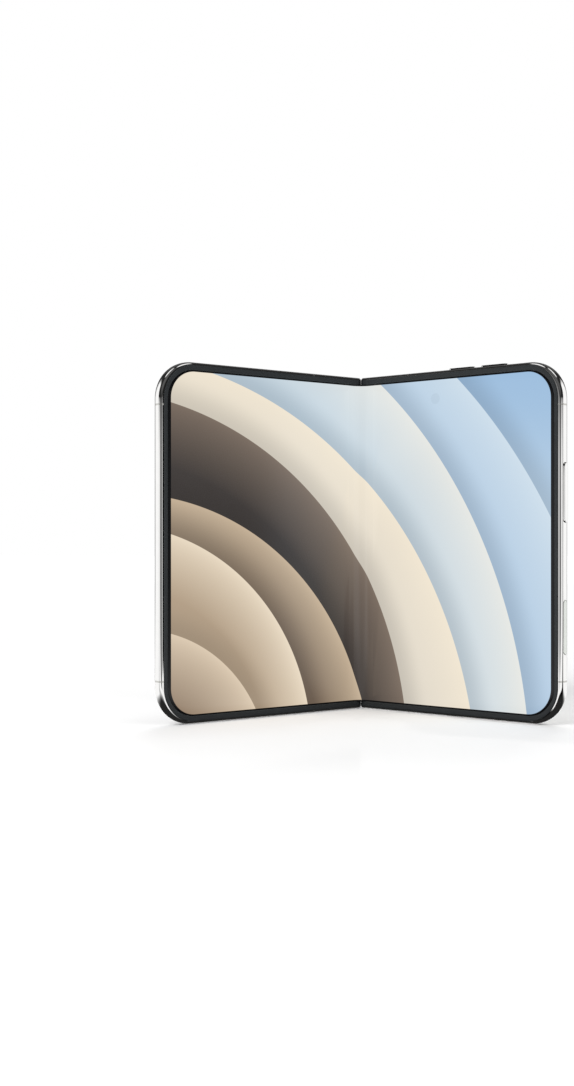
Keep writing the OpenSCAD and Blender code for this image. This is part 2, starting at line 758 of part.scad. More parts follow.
module cover_half_rail()
  color("silver") half(-1) difference() {
    half_rail();
    sound_holes();
    both_ends() translate([port_t, mid_y, -past]) cylinder(r = hole_r, h = rail_w + 2 * past);
  }

module cover_half_antenna_breaks() color("lightgray") half(-1) half_breaks();
module cover_half_midplate() color("gray") half(-1) half_midplate();
module cover_half_bezel() color([0.12, 0.12, 0.13]) half(-1) half_bezel();
module cover_half_inner_display() color("lightblue") half(-1) half_display();
module cover_half_support_plate() color("gray") half(-1) half_support_plate();
module cover_half_hinge_arms() color("dimgray") half(-1) half_arms();
module cover_half_hinge_pins() color("gainsboro") hinge_pins(-1, 0);
module cover_half_hinge_screws() color("gray") half(-1) half_arm_screws();

module cover_glass()
  color([0.1, 0.1, 0.12, 0.5]) half(-1) difference() {
    slab(glass_y, half_t) outline(lip_w + part_gap, inner_t);
    earpiece_slot(part_gap, glass_y - past, half_t + past);
  }

module cover_display()
  color("black") half(-1) difference() {
    slab(display_back_y, glass_y)
      outline(rail_w + part_gap + cover_border - lip_w, inner_t + cover_border);
    disc(cover_camera_t, body_h - cover_camera_drop, cover_camera_r + part_gap, 0, half_t);
    earpiece_slot(sunk_gap, display_back_y - past, half_t);
  }

module cover_camera()
  color([0.1, 0.1, 0.15]) half(-1) {
    disc(cover_camera_t, body_h - cover_camera_drop, cover_camera_r,
         inside_y + small_module_h - eps, glass_y);
    small_module(cover_camera_t, body_h - cover_camera_drop);
  }

// Square base that a small camera's barrel stands on
module small_module(t, z)
  slab(inside_y, inside_y + small_module_h)
    round_rect(t - small_module_w / 2, t + small_module_w / 2,
               z - small_module_w / 2, z + small_module_w / 2, inner_r);

// The earpiece speaks through a slot at the top of the cover glass
module earpiece_slot(gap, y0, y1)
  slab(y0, y1) translate([ear_t, body_h - lip_w - ear_slot_drop])
    stadium(ear_slot_len + 2 * gap, ear_slot_w + 2 * gap);

module earpiece()
  color([0.2, 0.2, 0.2]) half(-1) {
    slab(inside_y, inside_y + small_module_h)
      round_rect(ear_t - earpiece_w / 2, ear_t + earpiece_w / 2,
                 body_h - rail_w - part_gap - earpiece_h, body_h - rail_w - part_gap, inner_r);
    earpiece_slot(0, inside_y + small_module_h - eps, half_t - sunk_gap);
  }

module cover_half_battery()
  color([0.2, 0.2, 0.22]) half(-1) slab(inside_y, inside_y + battery_t)
    round_rect(battery_t0, battery_t0 + cover_battery_w,
               cover_battery_z0, cover_battery_z0 + cover_battery_h, battery_r);

module cover_half_board()
  color("darkgreen") half(-1) slab(inside_y, inside_y + board_t) {
    t1 = battery_t0 + cover_battery_w;
    z0 = cover_battery_z0 + cover_battery_h + board_gap;
    round_rect(t1 - cover_board_w, t1, z0, z0 + cover_board_h, inner_r);
  }

module cover_half_speaker() color([0.15, 0.15, 0.15]) half(-1) loudspeaker();
module cover_half_magnets() color("silver") half(-1) closing_magnets();

// ---- pieces that both halves have --------------------------------------------

// The loudspeaker is cut to the round corner of the rail
module loudspeaker()
  slab(inside_y, speaker_y1) intersection() {
    round_rect(speaker_t0, speaker_t0 + speaker_w,
               rail_w + part_gap, rail_w + part_gap + speaker_h, inner_r);
    outline(rail_w + part_gap, inner_t);
  }

module closing_magnets()
  for (z = magnet_mid)
    box(wall_t - part_gap - magnet_w, wall_t - part_gap, inside_y, inside_y + magnet_w,
        z - magnet_len / 2, z + magnet_len / 2);

module sound_holes()
  for (k = [0 : hole_count - 1])
    translate([holes_t + k * hole_pitch, mid_y, -past])
      cylinder(r = hole_r, h = rail_w + 2 * past);

// ---- buttons -------------------------------------------------------------------

// A button drawn pointing along +z at the origin, its face at the given height above the rail
module button(len, proud)
  translate([0, 0, -rail_w - part_gap - flange_t]) {
    linear_extrude(flange_t)
      stadium(len + 2 * flange_over, button_t + 2 * flange_over);
    linear_extrude(flange_t + part_gap + rail_w + proud) stadium(len, button_t);
  }

module button_slot(len)
  translate([0, 0, -rail_w - past]) linear_extrude(rail_w + 2 * past)
    stadium(len + 2 * button_gap, button_t + 2 * button_gap);

// Room in the chassis plate for a button's flange as it travels
module flange_notch(len)
  translate([0, 0, -rail_w - flange_room]) linear_extrude(rail_w + flange_room)
    square([len + 2 * (flange_over + part_gap), 2 * half_t], center = true);

// Places on the side rail, with the button's length along z
module on_side(z) translate([half_w, mid_y, z]) rotate([0, 90, 0]) children();
// Places on the top rail, with the button's length along t
module on_top(t) translate([t, mid_y, body_h]) children();

module side_button() color("silver") half(1) on_side(side_button_mid)
  button(side_button_len, button_proud);
module camera_control() color("gray") half(1) on_side(control_mid)
  button(control_len, control_proud);
module volume_up_button() color("silver") half(1) on_top(volume_t + volume_pitch)
  button(volume_len, button_proud);
module volume_down_button() color("silver") half(1) on_top(volume_t)
  button(volume_len, button_proud);

module switch_behind(len)
  translate([0, 0, -rail_w - flange_room - switch_t])
    linear_extrude(switch_t) stadium(len, button_t);

module button_switches()
  color("dimgray") half(1) {
    on_side(side_button_mid) switch_behind(side_button_len / 2);
    on_side(control_mid) switch_behind(control_len / 2);
    on_top(volume_t + volume_pitch) switch_behind(volume_len / 2);
    on_top(volume_t) switch_behind(volume_len / 2);
  }

// ---- camera half ------------------------------------------------------------------

module camera_half_rail()
  color("silver") half(1) difference() {
    half_rail();
    on_side(side_button_mid) button_slot(side_button_len);
    on_side(control_mid) button_slot(control_len);
    on_top(volume_t + volume_pitch) button_slot(volume_len);
    on_top(volume_t) button_slot(volume_len);
    sound_holes();
    translate([port_t, mid_y, -past]) linear_extrude(rail_w + 2 * past)
      stadium(port_w + 2 * (port_wall + press_gap), port_h + 2 * (port_wall + press_gap));
    port_screw_places() translate([0, 0, -past])
      cylinder(r = screw_head_r + press_gap, h = rail_w + 2 * past);
  }

module camera_half_antenna_breaks() color("lightgray") half(1) half_breaks();

module camera_half_midplate()
  color("gray") half(1) difference() {
    half_midplate();
    disc(hidden_camera_t, body_h - hidden_camera_drop, hidden_camera_r + part_gap, 0, half_t);
    on_side(side_button_mid) flange_notch(side_button_len);
    on_side(control_mid) flange_notch(control_len);
    on_top(volume_t + volume_pitch) flange_notch(volume_len);
    on_top(volume_t) flange_notch(volume_len);
    // room for the charging port
    box(port_t - port_w / 2 - port_wall - part_gap, port_t + port_w / 2 + port_wall + part_gap,
        0, half_t, 0, port_depth + part_gap);
  }

module camera_half_bezel() color([0.12, 0.12, 0.13]) half(1) half_bezel();
module camera_half_inner_display() color("lightblue") half(1) half_display();

module camera_half_support_plate()
  color("gray") half(1) difference() {
    half_support_plate();
    disc(hidden_camera_t, body_h - hidden_camera_drop, hidden_camera_r + part_gap, 0, half_t);
  }

module camera_half_hinge_arms() color("dimgray") half(1) half_arms();
module camera_half_hinge_pins() color("gainsboro") hinge_pins(1, half_pitch);
module camera_half_hinge_screws() color("gray") half(1) half_arm_screws();

// Pill with rounded shoulders, from y0 to y1, grown by g all round
module pill(y0, y1, g, edge_r) {
  r = plateau_w / 2 + g;
  run = plateau_len - plateau_w;
  translate([plateau_t, 0, plateau_z]) {
    translate([-run / 2, 0, 0]) rotate([0, 90, 0]) linear_extrude(run) for (s = [0, 1])
      mirror([s, 0]) pill_section(r, y0, y1, edge_r);
    for (s = [0, 1]) mirror([s, 0, 0]) translate([run / 2, 0, 0]) rotate([-90, 0, 0])
      rotate([0, 0, -90]) rotate_extrude(angle = 180) pill_section(r, y0, y1, edge_r);
  }
}

module pill_section(r, y0, y1, edge_r) {
  translate([0, y0]) square([r - edge_r, y1 - y0]);
  translate([0, y0]) square([r, y1 - y0 - edge_r]);
  intersection() {
    translate([r - edge_r, y1 - edge_r]) circle(edge_r);
    translate([0, y0]) square([r + edge_r, y1 - y0]);
  }
}

module back_glass()
  color("white") half(1) difference() {
    union() {
      slab(glass_y, half_t) outline(lip_w + part_gap, inner_t);
      pill(glass_y, plateau_y, 0, plateau_edge_r);
    }
    pill(glass_y - past, plateau_y - glass_t, -plateau_wall, hollow_edge_r);
    for (t = camera_t) disc(t, plateau_z, ring_r + ring_gap, 0, ring_y1);
    disc(flash_t, plateau_z - flash_drop, flash_r + part_gap, 0, ring_y1);
    disc(flash_t, plateau_z + mic_rise, mic_r + part_gap, 0, ring_y1);
  }

module camera_ring(t)
  half(1) difference() {
    disc(t, plateau_z, ring_r, ring_y0, ring_y1);
    disc(t, plateau_z, ring_r - ring_wall - ring_step, ring_y0 - past, ring_y1 + past);
    disc(t, plateau_z, ring_r - ring_wall, lens_y1 - lens_t - press_gap, ring_y1 + past);
  }

module main_camera_ring() color("silver") camera_ring(camera_t[0]);
module wide_camera_ring() color("silver") camera_ring(camera_t[1]);

module lens_cover(t)
  half(1) disc(t, plateau_z, ring_r - ring_wall - press_gap, lens_y1 - lens_t, lens_y1);

module main_lens_cover() color([0.05, 0.05, 0.08]) lens_cover(camera_t[0]);
module wide_lens_cover() color([0.05, 0.05, 0.08]) lens_cover(camera_t[1]);

module camera_module(t)
  half(1) difference() {
    union() {
      slab(inside_y, module_y1) round_rect(t - module_w / 2, t + module_w / 2,
        plateau_z - module_w / 2, plateau_z + module_w / 2, inner_r);
      disc(t, plateau_z, barrel_r, module_y1 - eps, lens_y1 - lens_t - part_gap);
    }
    // the front of the barrel steps down to its first lens
    disc(t, plateau_z, first_lens_r, lens_y1 - lens_t - first_lens_depth, ring_y1);
  }

module main_camera_module() color("dimgray") camera_module(camera_t[0]);
module wide_camera_module() color("dimgray") camera_module(camera_t[1]);

module flash_window()
  color("lightyellow") half(1)
    disc(flash_t, plateau_z - flash_drop, flash_r, glass_y, plateau_y - part_gap);

module rear_microphone()
  color([0.1, 0.1, 0.1]) half(1)
    disc(flash_t, plateau_z + mic_rise, mic_r, glass_y, plateau_y - sunk_gap);

module under_display_camera()
  color([0.1, 0.1, 0.15]) half(1) {
    disc(hidden_camera_t, body_h - hidden_camera_drop, hidden_camera_r,
         support_y, inside_y + eps);
    small_module(hidden_camera_t, body_h - hidden_camera_drop);
  }

module camera_half_battery()
  color([0.2, 0.2, 0.22]) half(1) slab(inside_y, inside_y + battery_t)
    round_rect(battery_t0, battery_t0 + battery_w, battery_z0, battery_z0 + battery_h, battery_r);

module main_board()
  color("darkgreen") half(1) {
    slab(board_y, board_y + board_t)
      round_rect(board_t0, board_t0 + board_w, board_z0, board_z0 + board_h, inner_r);
    inset = 2 * board_post_r;
    for (t = [board_t0 + inset, board_t0 + board_w - inset],
         z = [board_z0 + inset, board_z0 + board_h - inset])
      disc(t, z, board_post_r, inside_y, board_y + eps);
  }

module board_shields()
  color("gainsboro") half(1)
    for (k = [0 : shield_count - 1])
      slab(board_y + board_t, board_y + board_t + shield_h)
        round_rect(board_t0 + shield_margin, board_t0 + board_w - shield_margin,
                   shield_z0 + k * shield_pitch,
                   shield_z0 + (k + 1) * shield_pitch - shield_margin, inner_r);

module charging_coil()
  color("chocolate") half(1) difference() {
    disc(coil_t0, coil_z, coil_r, coil_y, coil_y + coil_t);
    disc(coil_t0, coil_z, coil_r - coil_w, coil_y - past, coil_y + coil_t + past);
  }

module vibration_motor()
  color("silver") half(1) slab(inside_y, speaker_y1)
    round_rect(battery_t0 + board_gap, battery_t0 + board_gap + motor_w,
               rail_w + part_gap, rail_w + part_gap + motor_h, inner_r);

module camera_half_speaker() color([0.15, 0.15, 0.15]) half(1) loudspeaker();
module camera_half_magnets() color("silver") half(1) closing_magnets();

module charging_port()
  color("silver") half(1) translate([port_t, mid_y, 0]) {
    difference() {
      linear_extrude(port_depth) stadium(port_w + 2 * port_wall, port_h + 2 * port_wall);
      translate([0, 0, -past]) linear_extrude(port_depth - port_back + past)
        stadium(port_w, port_h);
    }
    translate([0, 0, tongue_depth]) linear_extrude(port_depth - tongue_depth - eps)
      square([tongue_w, tongue_t], center = true);
  }

module port_screw_places()
  for (s = [-1, 1]) translate([port_t + s * (port_w / 2 + port_screw_gap), mid_y, 0]) children();

module port_screws()
  color("gray") half(1) port_screw_places() {
    translate([0, 0, sunk_gap]) cylinder(r = screw_head_r, h = 2 * screw_head_h);
    translate([0, 0, sunk_gap + screw_head_h])
      cylinder(r = screw_r, h = port_screw_len - screw_head_h);
  }

spine_cover();
spine_end_caps();
hinge_carriers();
carrier_screws();
friction_discs();
display_fold();
fold_support_sheet();
hinge_flex();
cover_side_idler_gears();
camera_side_idler_gears();
cover_half_rail();
cover_half_antenna_breaks();
cover_half_midplate();
cover_half_bezel();
cover_half_inner_display();
cover_half_support_plate();
cover_half_hinge_arms();
cover_half_hinge_pins();
cover_half_hinge_screws();
cover_glass();
cover_display();
cover_camera();
earpiece();
cover_half_battery();
cover_half_board();
cover_half_speaker();
cover_half_magnets();
camera_half_rail();
camera_half_antenna_breaks();
camera_half_midplate();
camera_half_bezel();
camera_half_inner_display();
camera_half_support_plate();
camera_half_hinge_arms();
camera_half_hinge_pins();
camera_half_hinge_screws();
back_glass();
main_camera_ring();
wide_camera_ring();
main_lens_cover();
wide_lens_cover();
main_camera_module();
wide_camera_module();
flash_window();
rear_microphone();
under_display_camera();
camera_half_battery();
main_board();
board_shields();
charging_coil();
vibration_motor();
camera_half_speaker();
camera_half_magnets();
charging_port();
port_screws();
button_switches();
side_button();
volume_up_button();
volume_down_button();
camera_control();
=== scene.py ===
"""Looks of a book-fold phone that stands part open on its bottom edges.

Each half is drawn flat, as in the frame it dresses: t runs out from the fold, y back from the
inner face and z up. placed() turns it about its hinge pin to rest. Lengths are millimetres.
"""
import json
import math

import bpy
import numpy as np
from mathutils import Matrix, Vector


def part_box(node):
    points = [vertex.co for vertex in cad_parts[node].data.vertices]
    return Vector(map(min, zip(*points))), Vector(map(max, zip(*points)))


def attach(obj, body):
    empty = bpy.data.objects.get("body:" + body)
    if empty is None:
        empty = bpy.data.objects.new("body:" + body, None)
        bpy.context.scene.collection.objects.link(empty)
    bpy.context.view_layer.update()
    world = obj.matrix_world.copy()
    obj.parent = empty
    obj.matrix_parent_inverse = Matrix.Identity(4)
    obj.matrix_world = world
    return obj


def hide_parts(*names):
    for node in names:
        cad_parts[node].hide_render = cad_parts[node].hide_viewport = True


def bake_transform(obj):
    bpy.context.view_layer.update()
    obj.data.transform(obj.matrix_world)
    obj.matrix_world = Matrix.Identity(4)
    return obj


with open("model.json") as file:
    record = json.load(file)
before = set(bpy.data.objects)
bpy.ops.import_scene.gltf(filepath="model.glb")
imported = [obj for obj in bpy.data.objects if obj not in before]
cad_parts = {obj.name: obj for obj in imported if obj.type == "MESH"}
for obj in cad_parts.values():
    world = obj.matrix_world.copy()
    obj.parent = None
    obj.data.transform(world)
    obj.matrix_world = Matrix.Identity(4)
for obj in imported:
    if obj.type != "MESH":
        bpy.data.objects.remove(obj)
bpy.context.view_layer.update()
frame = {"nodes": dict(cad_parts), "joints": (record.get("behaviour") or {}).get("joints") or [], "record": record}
MM = 0.001

# ---- sizes taken from the frame ----

FOLD = {joint["name"]: joint for joint in frame["joints"]}["camera_half_fold"]
TILT = math.radians(FOLD["range_deg"][1])
PIN_T = FOLD["pos_m"][0] / MM
PIN_WORLD_Y = FOLD["pos_m"][1] / MM
BODY_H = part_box("cover_half_rail")[1].z / MM
COVER, CAMERA = -1, 1
HALF_NAME = {COVER: "cover_half", CAMERA: "camera_half"}

# ---- sizes of the phone ----

HALF_W = 85.3
HALF_T = 4.8
PIN_Y = 2.05
CORNER_R = 12.9
FOLD_CORNER_R = 1.2
EDGE_T = 0.15              # the halves' edges beside the fold
NOSE_R = 2.1               # rounded front edge beside the fold

RAIL_W = 2.0
RAIL_Y = (0.3, 4.7)
RAIL_EDGE_R = 1.3
RAIL_MID_Y = 2.5
CROWN_R = 8.0              # the rail's side is slightly crowned between its rounded edges
EDGE_MID = RAIL_Y[1] - RAIL_EDGE_R - RAIL_MID_Y          # from its middle to the edges' centres
CROWN_TURN = math.asin(EDGE_MID / (CROWN_R - RAIL_EDGE_R))
EDGE_DEEP = CROWN_R - (CROWN_R - RAIL_EDGE_R) * math.cos(CROWN_TURN)    # inset of those centres
LIP_W = 0.8
LIP_LAND = 0.08            # flat top of the thin back lip
FRONT_TURN = 70            # how far the front edge rounds over, in degrees, before its flat land
LAND_W = 0.96              # inner edge of that land along the top and bottom
LAND_MORE = 0.54           # and how much further in it is along the side
SEAT_Y = 0.65              # seat of the bezel
GLASS_Y = 4.2              # seat of the outer glass
GLASS_ROOM = 0.05          # between the outer glass and the lip
GLASS_SOFT = 0.22          # softened edges of the outer glass and of the skin over the spine

RUN_T, RUN_Z = HALF_W - CORNER_R, BODY_H - 2 * CORNER_R  # straight stretches of a half's outline
QUARTER = CORNER_R * math.pi / 2                         # length of its round corners
SIDE_LOW = RUN_T + QUARTER                               # distances along it to their other ends
SIDE_HIGH = SIDE_LOW + RUN_Z
TOP_OUT = SIDE_HIGH + QUARTER
OUTLINE_LEN = 2 * SIDE_LOW + RUN_Z
NEAR_FOLD = 2.6                                          # first station past the end at the fold
BREAK_W = 0.6
BREAK_DEPTH = 0.9
BREAK_PROUD = 0.004
BREAK_SIDE, BREAK_FOLD = 14.8, 22.0                      # breaks' places, from z = 0 and the fold
BREAKS = (BREAK_FOLD, SIDE_LOW - CORNER_R + BREAK_SIDE, SIDE_LOW - CORNER_R + BODY_H - BREAK_SIDE,
          OUTLINE_LEN - BREAK_FOLD)

BAY_T = 4.45               # side of the space that the spine lies in
BAY_WALL = 0.8
BAY_Z = 2.9
LAP, SHORT_LAP = 0.05, 0.01      # how far parts of a solid run into each other
SKIN_INSET = 0.003
INNER_T = 5.3
FOOT_REACH = 8.8
FOOT_LEN = 8.0
FOOT_BACK = 1.8
PAD_BACK = 3.7
HINGE_Z = (20.0, BODY_H - 20.0)

BEZEL_INSET = (1.0, 2.8)
BEZEL_SOFT = 0.24
PANEL_INSET = 2.85
PANEL_Y = (0.2, 0.65)
PANEL_SOFT = 0.06
PLATE_SHARE = 0.85         # share of a plate's stations that lie before its round corners
STRIP_T, PLATE_T = 6.45, 6.44   # where the bent strip ends and the flat part starts
FOLD_BEND_R = 5.0
# Sheets that bend at the fold: front y, thickness, bend radius, reach, lowest z
FOLD_DISPLAY = (PANEL_Y[0], PANEL_Y[1] - PANEL_Y[0], FOLD_BEND_R, STRIP_T, PANEL_INSET)
FOLD_SUPPORT = (0.66, 0.15, FOLD_BEND_R + 0.31, STRIP_T, 2.95)
FOLD_CABLE = (1.4, 0.14, FOLD_BEND_R - 1, 9.5, BODY_H / 2 - 4.5)
BORDER_SIDE, BORDER_END = 1.2, 0.40      # black border of the lit area beside the bezel
BORDER_EDGE = 0.08                       # width over which it turns black
SHEET_UNIT = 100                         # the sheet's map is in decimetres

SPINE_R = 2.05
SPINE_WALL = 0.45
SPINE_Z = 3.0
SPINE_CAP = 1.2
SPINE_FRONT = 1.9
SPINE_SOFT = 0.12
WEB_HALF, WEB_Y, WEB_Z = 0.085, 0.35, (0.62, SPINE_Z + 0.05)    # webs in the gap at the fold's ends

PLATEAU_LEN, PLATEAU_W = 71.9, 22.3
PLATEAU_T, PLATEAU_Z = HALF_W - 6.7 - PLATEAU_LEN / 2, BODY_H - 14.6
PLATEAU_Y = 6.3
# Its shoulders: growth of its outline with the drop from its face, then with the height left
SHOULDER = ((-1.30, 0.0), (-1.05, 0.03), (-0.82, 0.10), (-0.60, 0.22), (-0.40, 0.39), (-0.24, 0.60),
            (-0.12, 0.82))
SHOULDER_FOOT = ((-0.02, 0.42), (0.08, 0.24), (0.22, 0.11), (0.42, 0.03), (0.70, 0.0))
CAMERA_T = {"main": HALF_W - 17.2, "wide": HALF_W - 36.0}
RING_R, RING_WALL, RING_Y = 8.6, 1.35, (5.3, 8.6)
RIM_R = 0.28
RING_LEDGE = 0.6                 # the ring's ledge behind its lens cover
LENS_R, LENS_Y = 7.24, (7.75, 8.35)
MODULE_W, MODULE_Y = 12.0, (1.4, 4.15)
BARREL_R, BARREL_Y = 5.0, 7.7
# The barrel's front, as radius and drop from it, and its lens elements: radius, drop, height
BARREL_STEPS = ((BARREL_R, 0.25), (BARREL_R - 0.25, 0.0), (4.1, 0.0), (3.9, 0.35), (3.5, 0.35),
                (3.4, 0.7), (3.0, 0.7), (2.9, 1.2))
OUTER_ELEMENT, INNER_ELEMENT = (2.88, 1.18, 0.55), (1.5, 0.72, 0.28)
SKIRT_R, SKIRT_Y = RING_R - RING_WALL - 0.65, (4.22, 6.1)
FLASH = (31.0, PLATEAU_Z - 5.2, 2.6)
MICROPHONE = (31.0, PLATEAU_Z + 4.1, 0.5)
WINDOW_DROP = 0.15         # from the plateau's face to where their windows' chamfers start
BACK_HOLE_Y = (3, 8)
RING_ROOM, WINDOW_ROOM = 0.04, 0.05
HIDDEN_CAMERA = (34.3, BODY_H - 9.8)
EARPIECE = (45.3, BODY_H - 2.6, 8.0, 0.6)
EARPIECE_ROOM = 0.1

BUTTON_W = 2.1
BUTTON_GAP = 0.08
END_GAP = 0.22
BUTTON_PROUD = 0.45
CONTROL_PROUD = 0.05
BUTTON_SOFT = 0.18
FLANGE_T, FLANGE_OVER, FLANGE_DEPTH = 0.5, 0.4, RAIL_W + 0.05
CONTROL_DISH = 0.05
SIDE_BUTTON = (76.9, 19.5)       # middle along the rail, length
CAMERA_CONTROL = (32.6, 17.9)
VOLUME_UP = (57.6, 10.4)
VOLUME_DOWN = (44.2, 10.4)
BUTTON_ROOMS = (("side", *SIDE_BUTTON, END_GAP), ("side", *CAMERA_CONTROL, BUTTON_GAP),
                ("top", *VOLUME_UP, END_GAP), ("top", *VOLUME_DOWN, END_GAP))
SHADE_LINING_ROOM, SHADE_LINING_GRIP = 0.01, 0.02            # gaps of a black lining that paints the shade in a button's gap: to its hole and to its button
SHADE_LINING_DEPTH = (0.55, RAIL_W - 0.02)

PORT_T, PORT_W, PORT_H = 42.0, 8.72, 2.92
PORT_SCREWS = ((34.8, 0.76), (49.2, 0.76))
SOUND_HOLES = [(58.0 + 2.0 * k, 0.6) for k in range(6)]
MIC_HOLE = (42.0, 0.6)
HOLE_REACH = (-1.2, 3.2)         # the holes' ends, as insets from the outline

# ---- places ----

SIN, COS = math.sin(TILT), math.cos(TILT)


def placed(side, t, y, z):
    """World metres of points of a half drawn flat: turned about its pin, mirrored for the cover half."""
    t, y, z = np.broadcast_arrays(t, y, z)
    dt, dy = t - PIN_T, y - PIN_Y
    x = PIN_T + dt * COS + dy * SIN
    back = PIN_WORLD_Y - dt * SIN + dy * COS
    return np.stack([side * x, back, z], -1) * MM


def hinge_placed(side, x, y, z):
    """World metres of points in the hinge's own frame, where y runs back from the inner faces."""
    x, y, z = np.broadcast_arrays(x, y, z)
    return np.stack([side * x, y + PIN_WORLD_Y - PIN_Y, z], -1) * MM


def fold_meet(y):
    """How far out along a half, from its pin, its level y meets the middle plane of the fold."""
    return (-PIN_T - (y - PIN_Y) * SIN) / COS


def sheet_u(t):
    """Distance along the flattened display from the middle of the fold to a point at t: the bend's
    arc, then the straight part from its tangent point."""
    straight = PIN_T + fold_meet(sum(PANEL_Y) / 2) + FOLD_BEND_R * math.tan(TILT)
    return t - straight + FOLD_BEND_R * TILT


# ---- meshes ----

def triangles(quads):
    """The two triangles of every quad."""
    return np.concatenate([quads[:, [0, 1, 2]], quads[:, [0, 2, 3]]])


def volume(points, faces):
    """Six times the volume inside a closed skin of triangles, negative if they face inwards."""
    a, b, c = (points[faces[:, corner]] for corner in range(3))
    return np.einsum("ij,ij->i", a, np.cross(b, c)).sum()


def join_parts(parts):
    """One list of points and one of faces from several (points, [faces, ...]) skins."""
    points, faces, start = [], [], 0
    for part_points, part_faces in parts:
        points.append(part_points)
        for same_sized in part_faces:
            faces += (same_sized + start).tolist()
        start += len(part_points)
    return np.concatenate(points), faces


def shade(mesh, sharp):
    """Shades a mesh smooth up to the sharp angle, in degrees."""
    mesh.shade_smooth()
    mesh.set_sharp_from_angle(angle=math.radians(sharp))


def add_object(name, data):
    """A new object of the scene that holds a mesh, a light or a camera."""
    obj = bpy.data.objects.new(name, data)
    bpy.context.scene.collection.objects.link(obj)
    return obj


def piece(name, parts, material, sharp=32):
    """A mesh object from skins, shaded smooth up to the sharp angle."""
    points, faces = join_parts(parts)
    mesh = bpy.data.meshes.new(name)
    mesh.from_pydata(points.tolist(), [], faces)
    mesh.materials.append(material)
    shade(mesh, sharp)
    return add_object(name, mesh)


def lattice(us, vs, ws, place):
    """Closed skin of a box lattice bent by place(u, v, w), which takes and gives arrays."""
    nu, nv, nw = len(us), len(vs), len(ws)
    index = np.arange(nu * nv * nw).reshape(nu, nv, nw)
    quads = []
    for side, flip in ((index[0], 0), (index[-1], 1), (index[:, 0], 1), (index[:, -1], 0),
                       (index[:, :, 0], 0), (index[:, :, -1], 1)):
        a, b, c, d = side[:-1, :-1], side[:-1, 1:], side[1:, 1:], side[1:, :-1]
        quad = np.stack([a, b, c, d], -1).reshape(-1, 4)
        quads.append(quad[:, ::-1] if flip else quad)
    used, flat = np.unique(np.concatenate(quads), return_inverse=True)
    i, j, k = np.unravel_index(used, (nu, nv, nw))
    points = place(np.asarray(us, float)[i], np.asarray(vs, float)[j], np.asarray(ws, float)[k])
    faces = flat.reshape(-1, 4)
    return points, [faces if volume(points, triangles(faces)) > 0 else faces[:, ::-1]]


def loop_stack(rings, closed=False):
    """Skin of rings of points, shape (rings, points, 3); open stacks get a flat cap at each end."""
    rings = np.asarray(rings)
    count, around = rings.shape[:2]
    index = np.arange(count * around).reshape(count, around)
    points = rings.reshape(-1, 3)
    walls = np.vstack([index, index[:1]]) if closed else index
    a, b = walls[:-1], walls[1:]
    quads = np.stack([a, np.roll(a, -1, 1), np.roll(b, -1, 1), b], -1).reshape(-1, 4)
    caps, fans, with_ends = [], [], points
    if not closed:
        low, high = index[0], index[-1]
        caps = [index[:1, ::-1], index[-1:]]
        fans = [np.stack([np.full(around, len(points)), np.roll(low, -1), low], -1),
                np.stack([np.full(around, len(points) + 1), high, np.roll(high, -1)], -1)]
        with_ends = np.vstack([points, rings[0].mean(0), rings[-1].mean(0)])
    if volume(with_ends, np.concatenate([triangles(quads)] + fans)) < 0:
        quads = quads[:, ::-1]
        caps = [cap[:, ::-1] for cap in caps]
    return points, [quads] + caps


def turned(side, t, z, profile, around=96):
    """Skin turned about an axis along y at (t, z). profile is a closed loop of (radius, y);
    one that begins and ends on the axis is closed by flat caps instead."""
    profile = np.asarray(profile, float)
    solid = profile[0, 0] == 0 and profile[-1, 0] == 0
    if solid:
        profile = profile[1:-1]
    turn = np.linspace(0, 2 * np.pi, around, endpoint=False)
    r, y = profile[:, :1], profile[:, 1:]
    rings = placed(side, t + r * np.cos(turn), y + 0 * turn, z + r * np.sin(turn))
    return loop_stack(rings, closed=not solid)


def stadium(length, width, around=48):
    """Points round a stadium that lies along the first axis, (around, 2), and their outward normals."""
    turn = np.linspace(0, 2 * np.pi, around, endpoint=False)
    normal = np.stack([np.cos(turn), np.sin(turn)], -1)
    run = np.where(np.cos(turn) >= -1e-9, 1, -1) * (length - width) / 2
    return normal * width / 2 + np.stack([run, 0 * run], -1), normal


def arc(centre, radius, start, end, count):
    """Points on a circle from one angle to another, in degrees."""
    turn = np.radians(np.linspace(start, end, count))
    return np.stack([centre[0] + radius * np.cos(turn), centre[1] + radius * np.sin(turn)], -1)


def way(first, *legs):
    """Values or points from the first on: each leg is (where it ends, its number of even steps)."""
    runs = [[first]]
    for end, steps in legs:
        runs.append(np.linspace(runs[-1][-1], end, steps + 1)[1:])
    return np.concatenate(runs)


def cut(obj, cutters, sharp=32):
    """Takes the cutters' skins out of a piece with an exact boolean, which is applied."""
    tool = piece("cutter", cutters, obj.data.materials[0])
    modifier = obj.modifiers.new("cut", "BOOLEAN")
    modifier.operation, modifier.solver, modifier.object = "DIFFERENCE", "EXACT", tool
    modifier.use_self = True
    graph = bpy.context.evaluated_depsgraph_get()
    mesh = bpy.data.meshes.new_from_object(obj.evaluated_get(graph))
    obj.modifiers.clear()
    old, obj.data = obj.data, mesh
    mesh.name = obj.name
    bpy.data.meshes.remove(old)
    tool_mesh = tool.data
    bpy.data.objects.remove(tool)
    bpy.data.meshes.remove(tool_mesh)
    shade(mesh, sharp)
    return obj


# ---- colour and node helpers ----

def srgb(red, green, blue):
    """Linear colour of an 8-bit screen colour."""
    screen = np.array([red, green, blue]) / 255
    linear = np.where(screen <= 0.04045, screen / 12.92, ((screen + 0.055) / 1.055) ** 2.4)
    return (*[float(c) for c in linear], 1.0)


def level_colour(level):
    """A grey of that brightness."""
    return (level, level, level, 1)


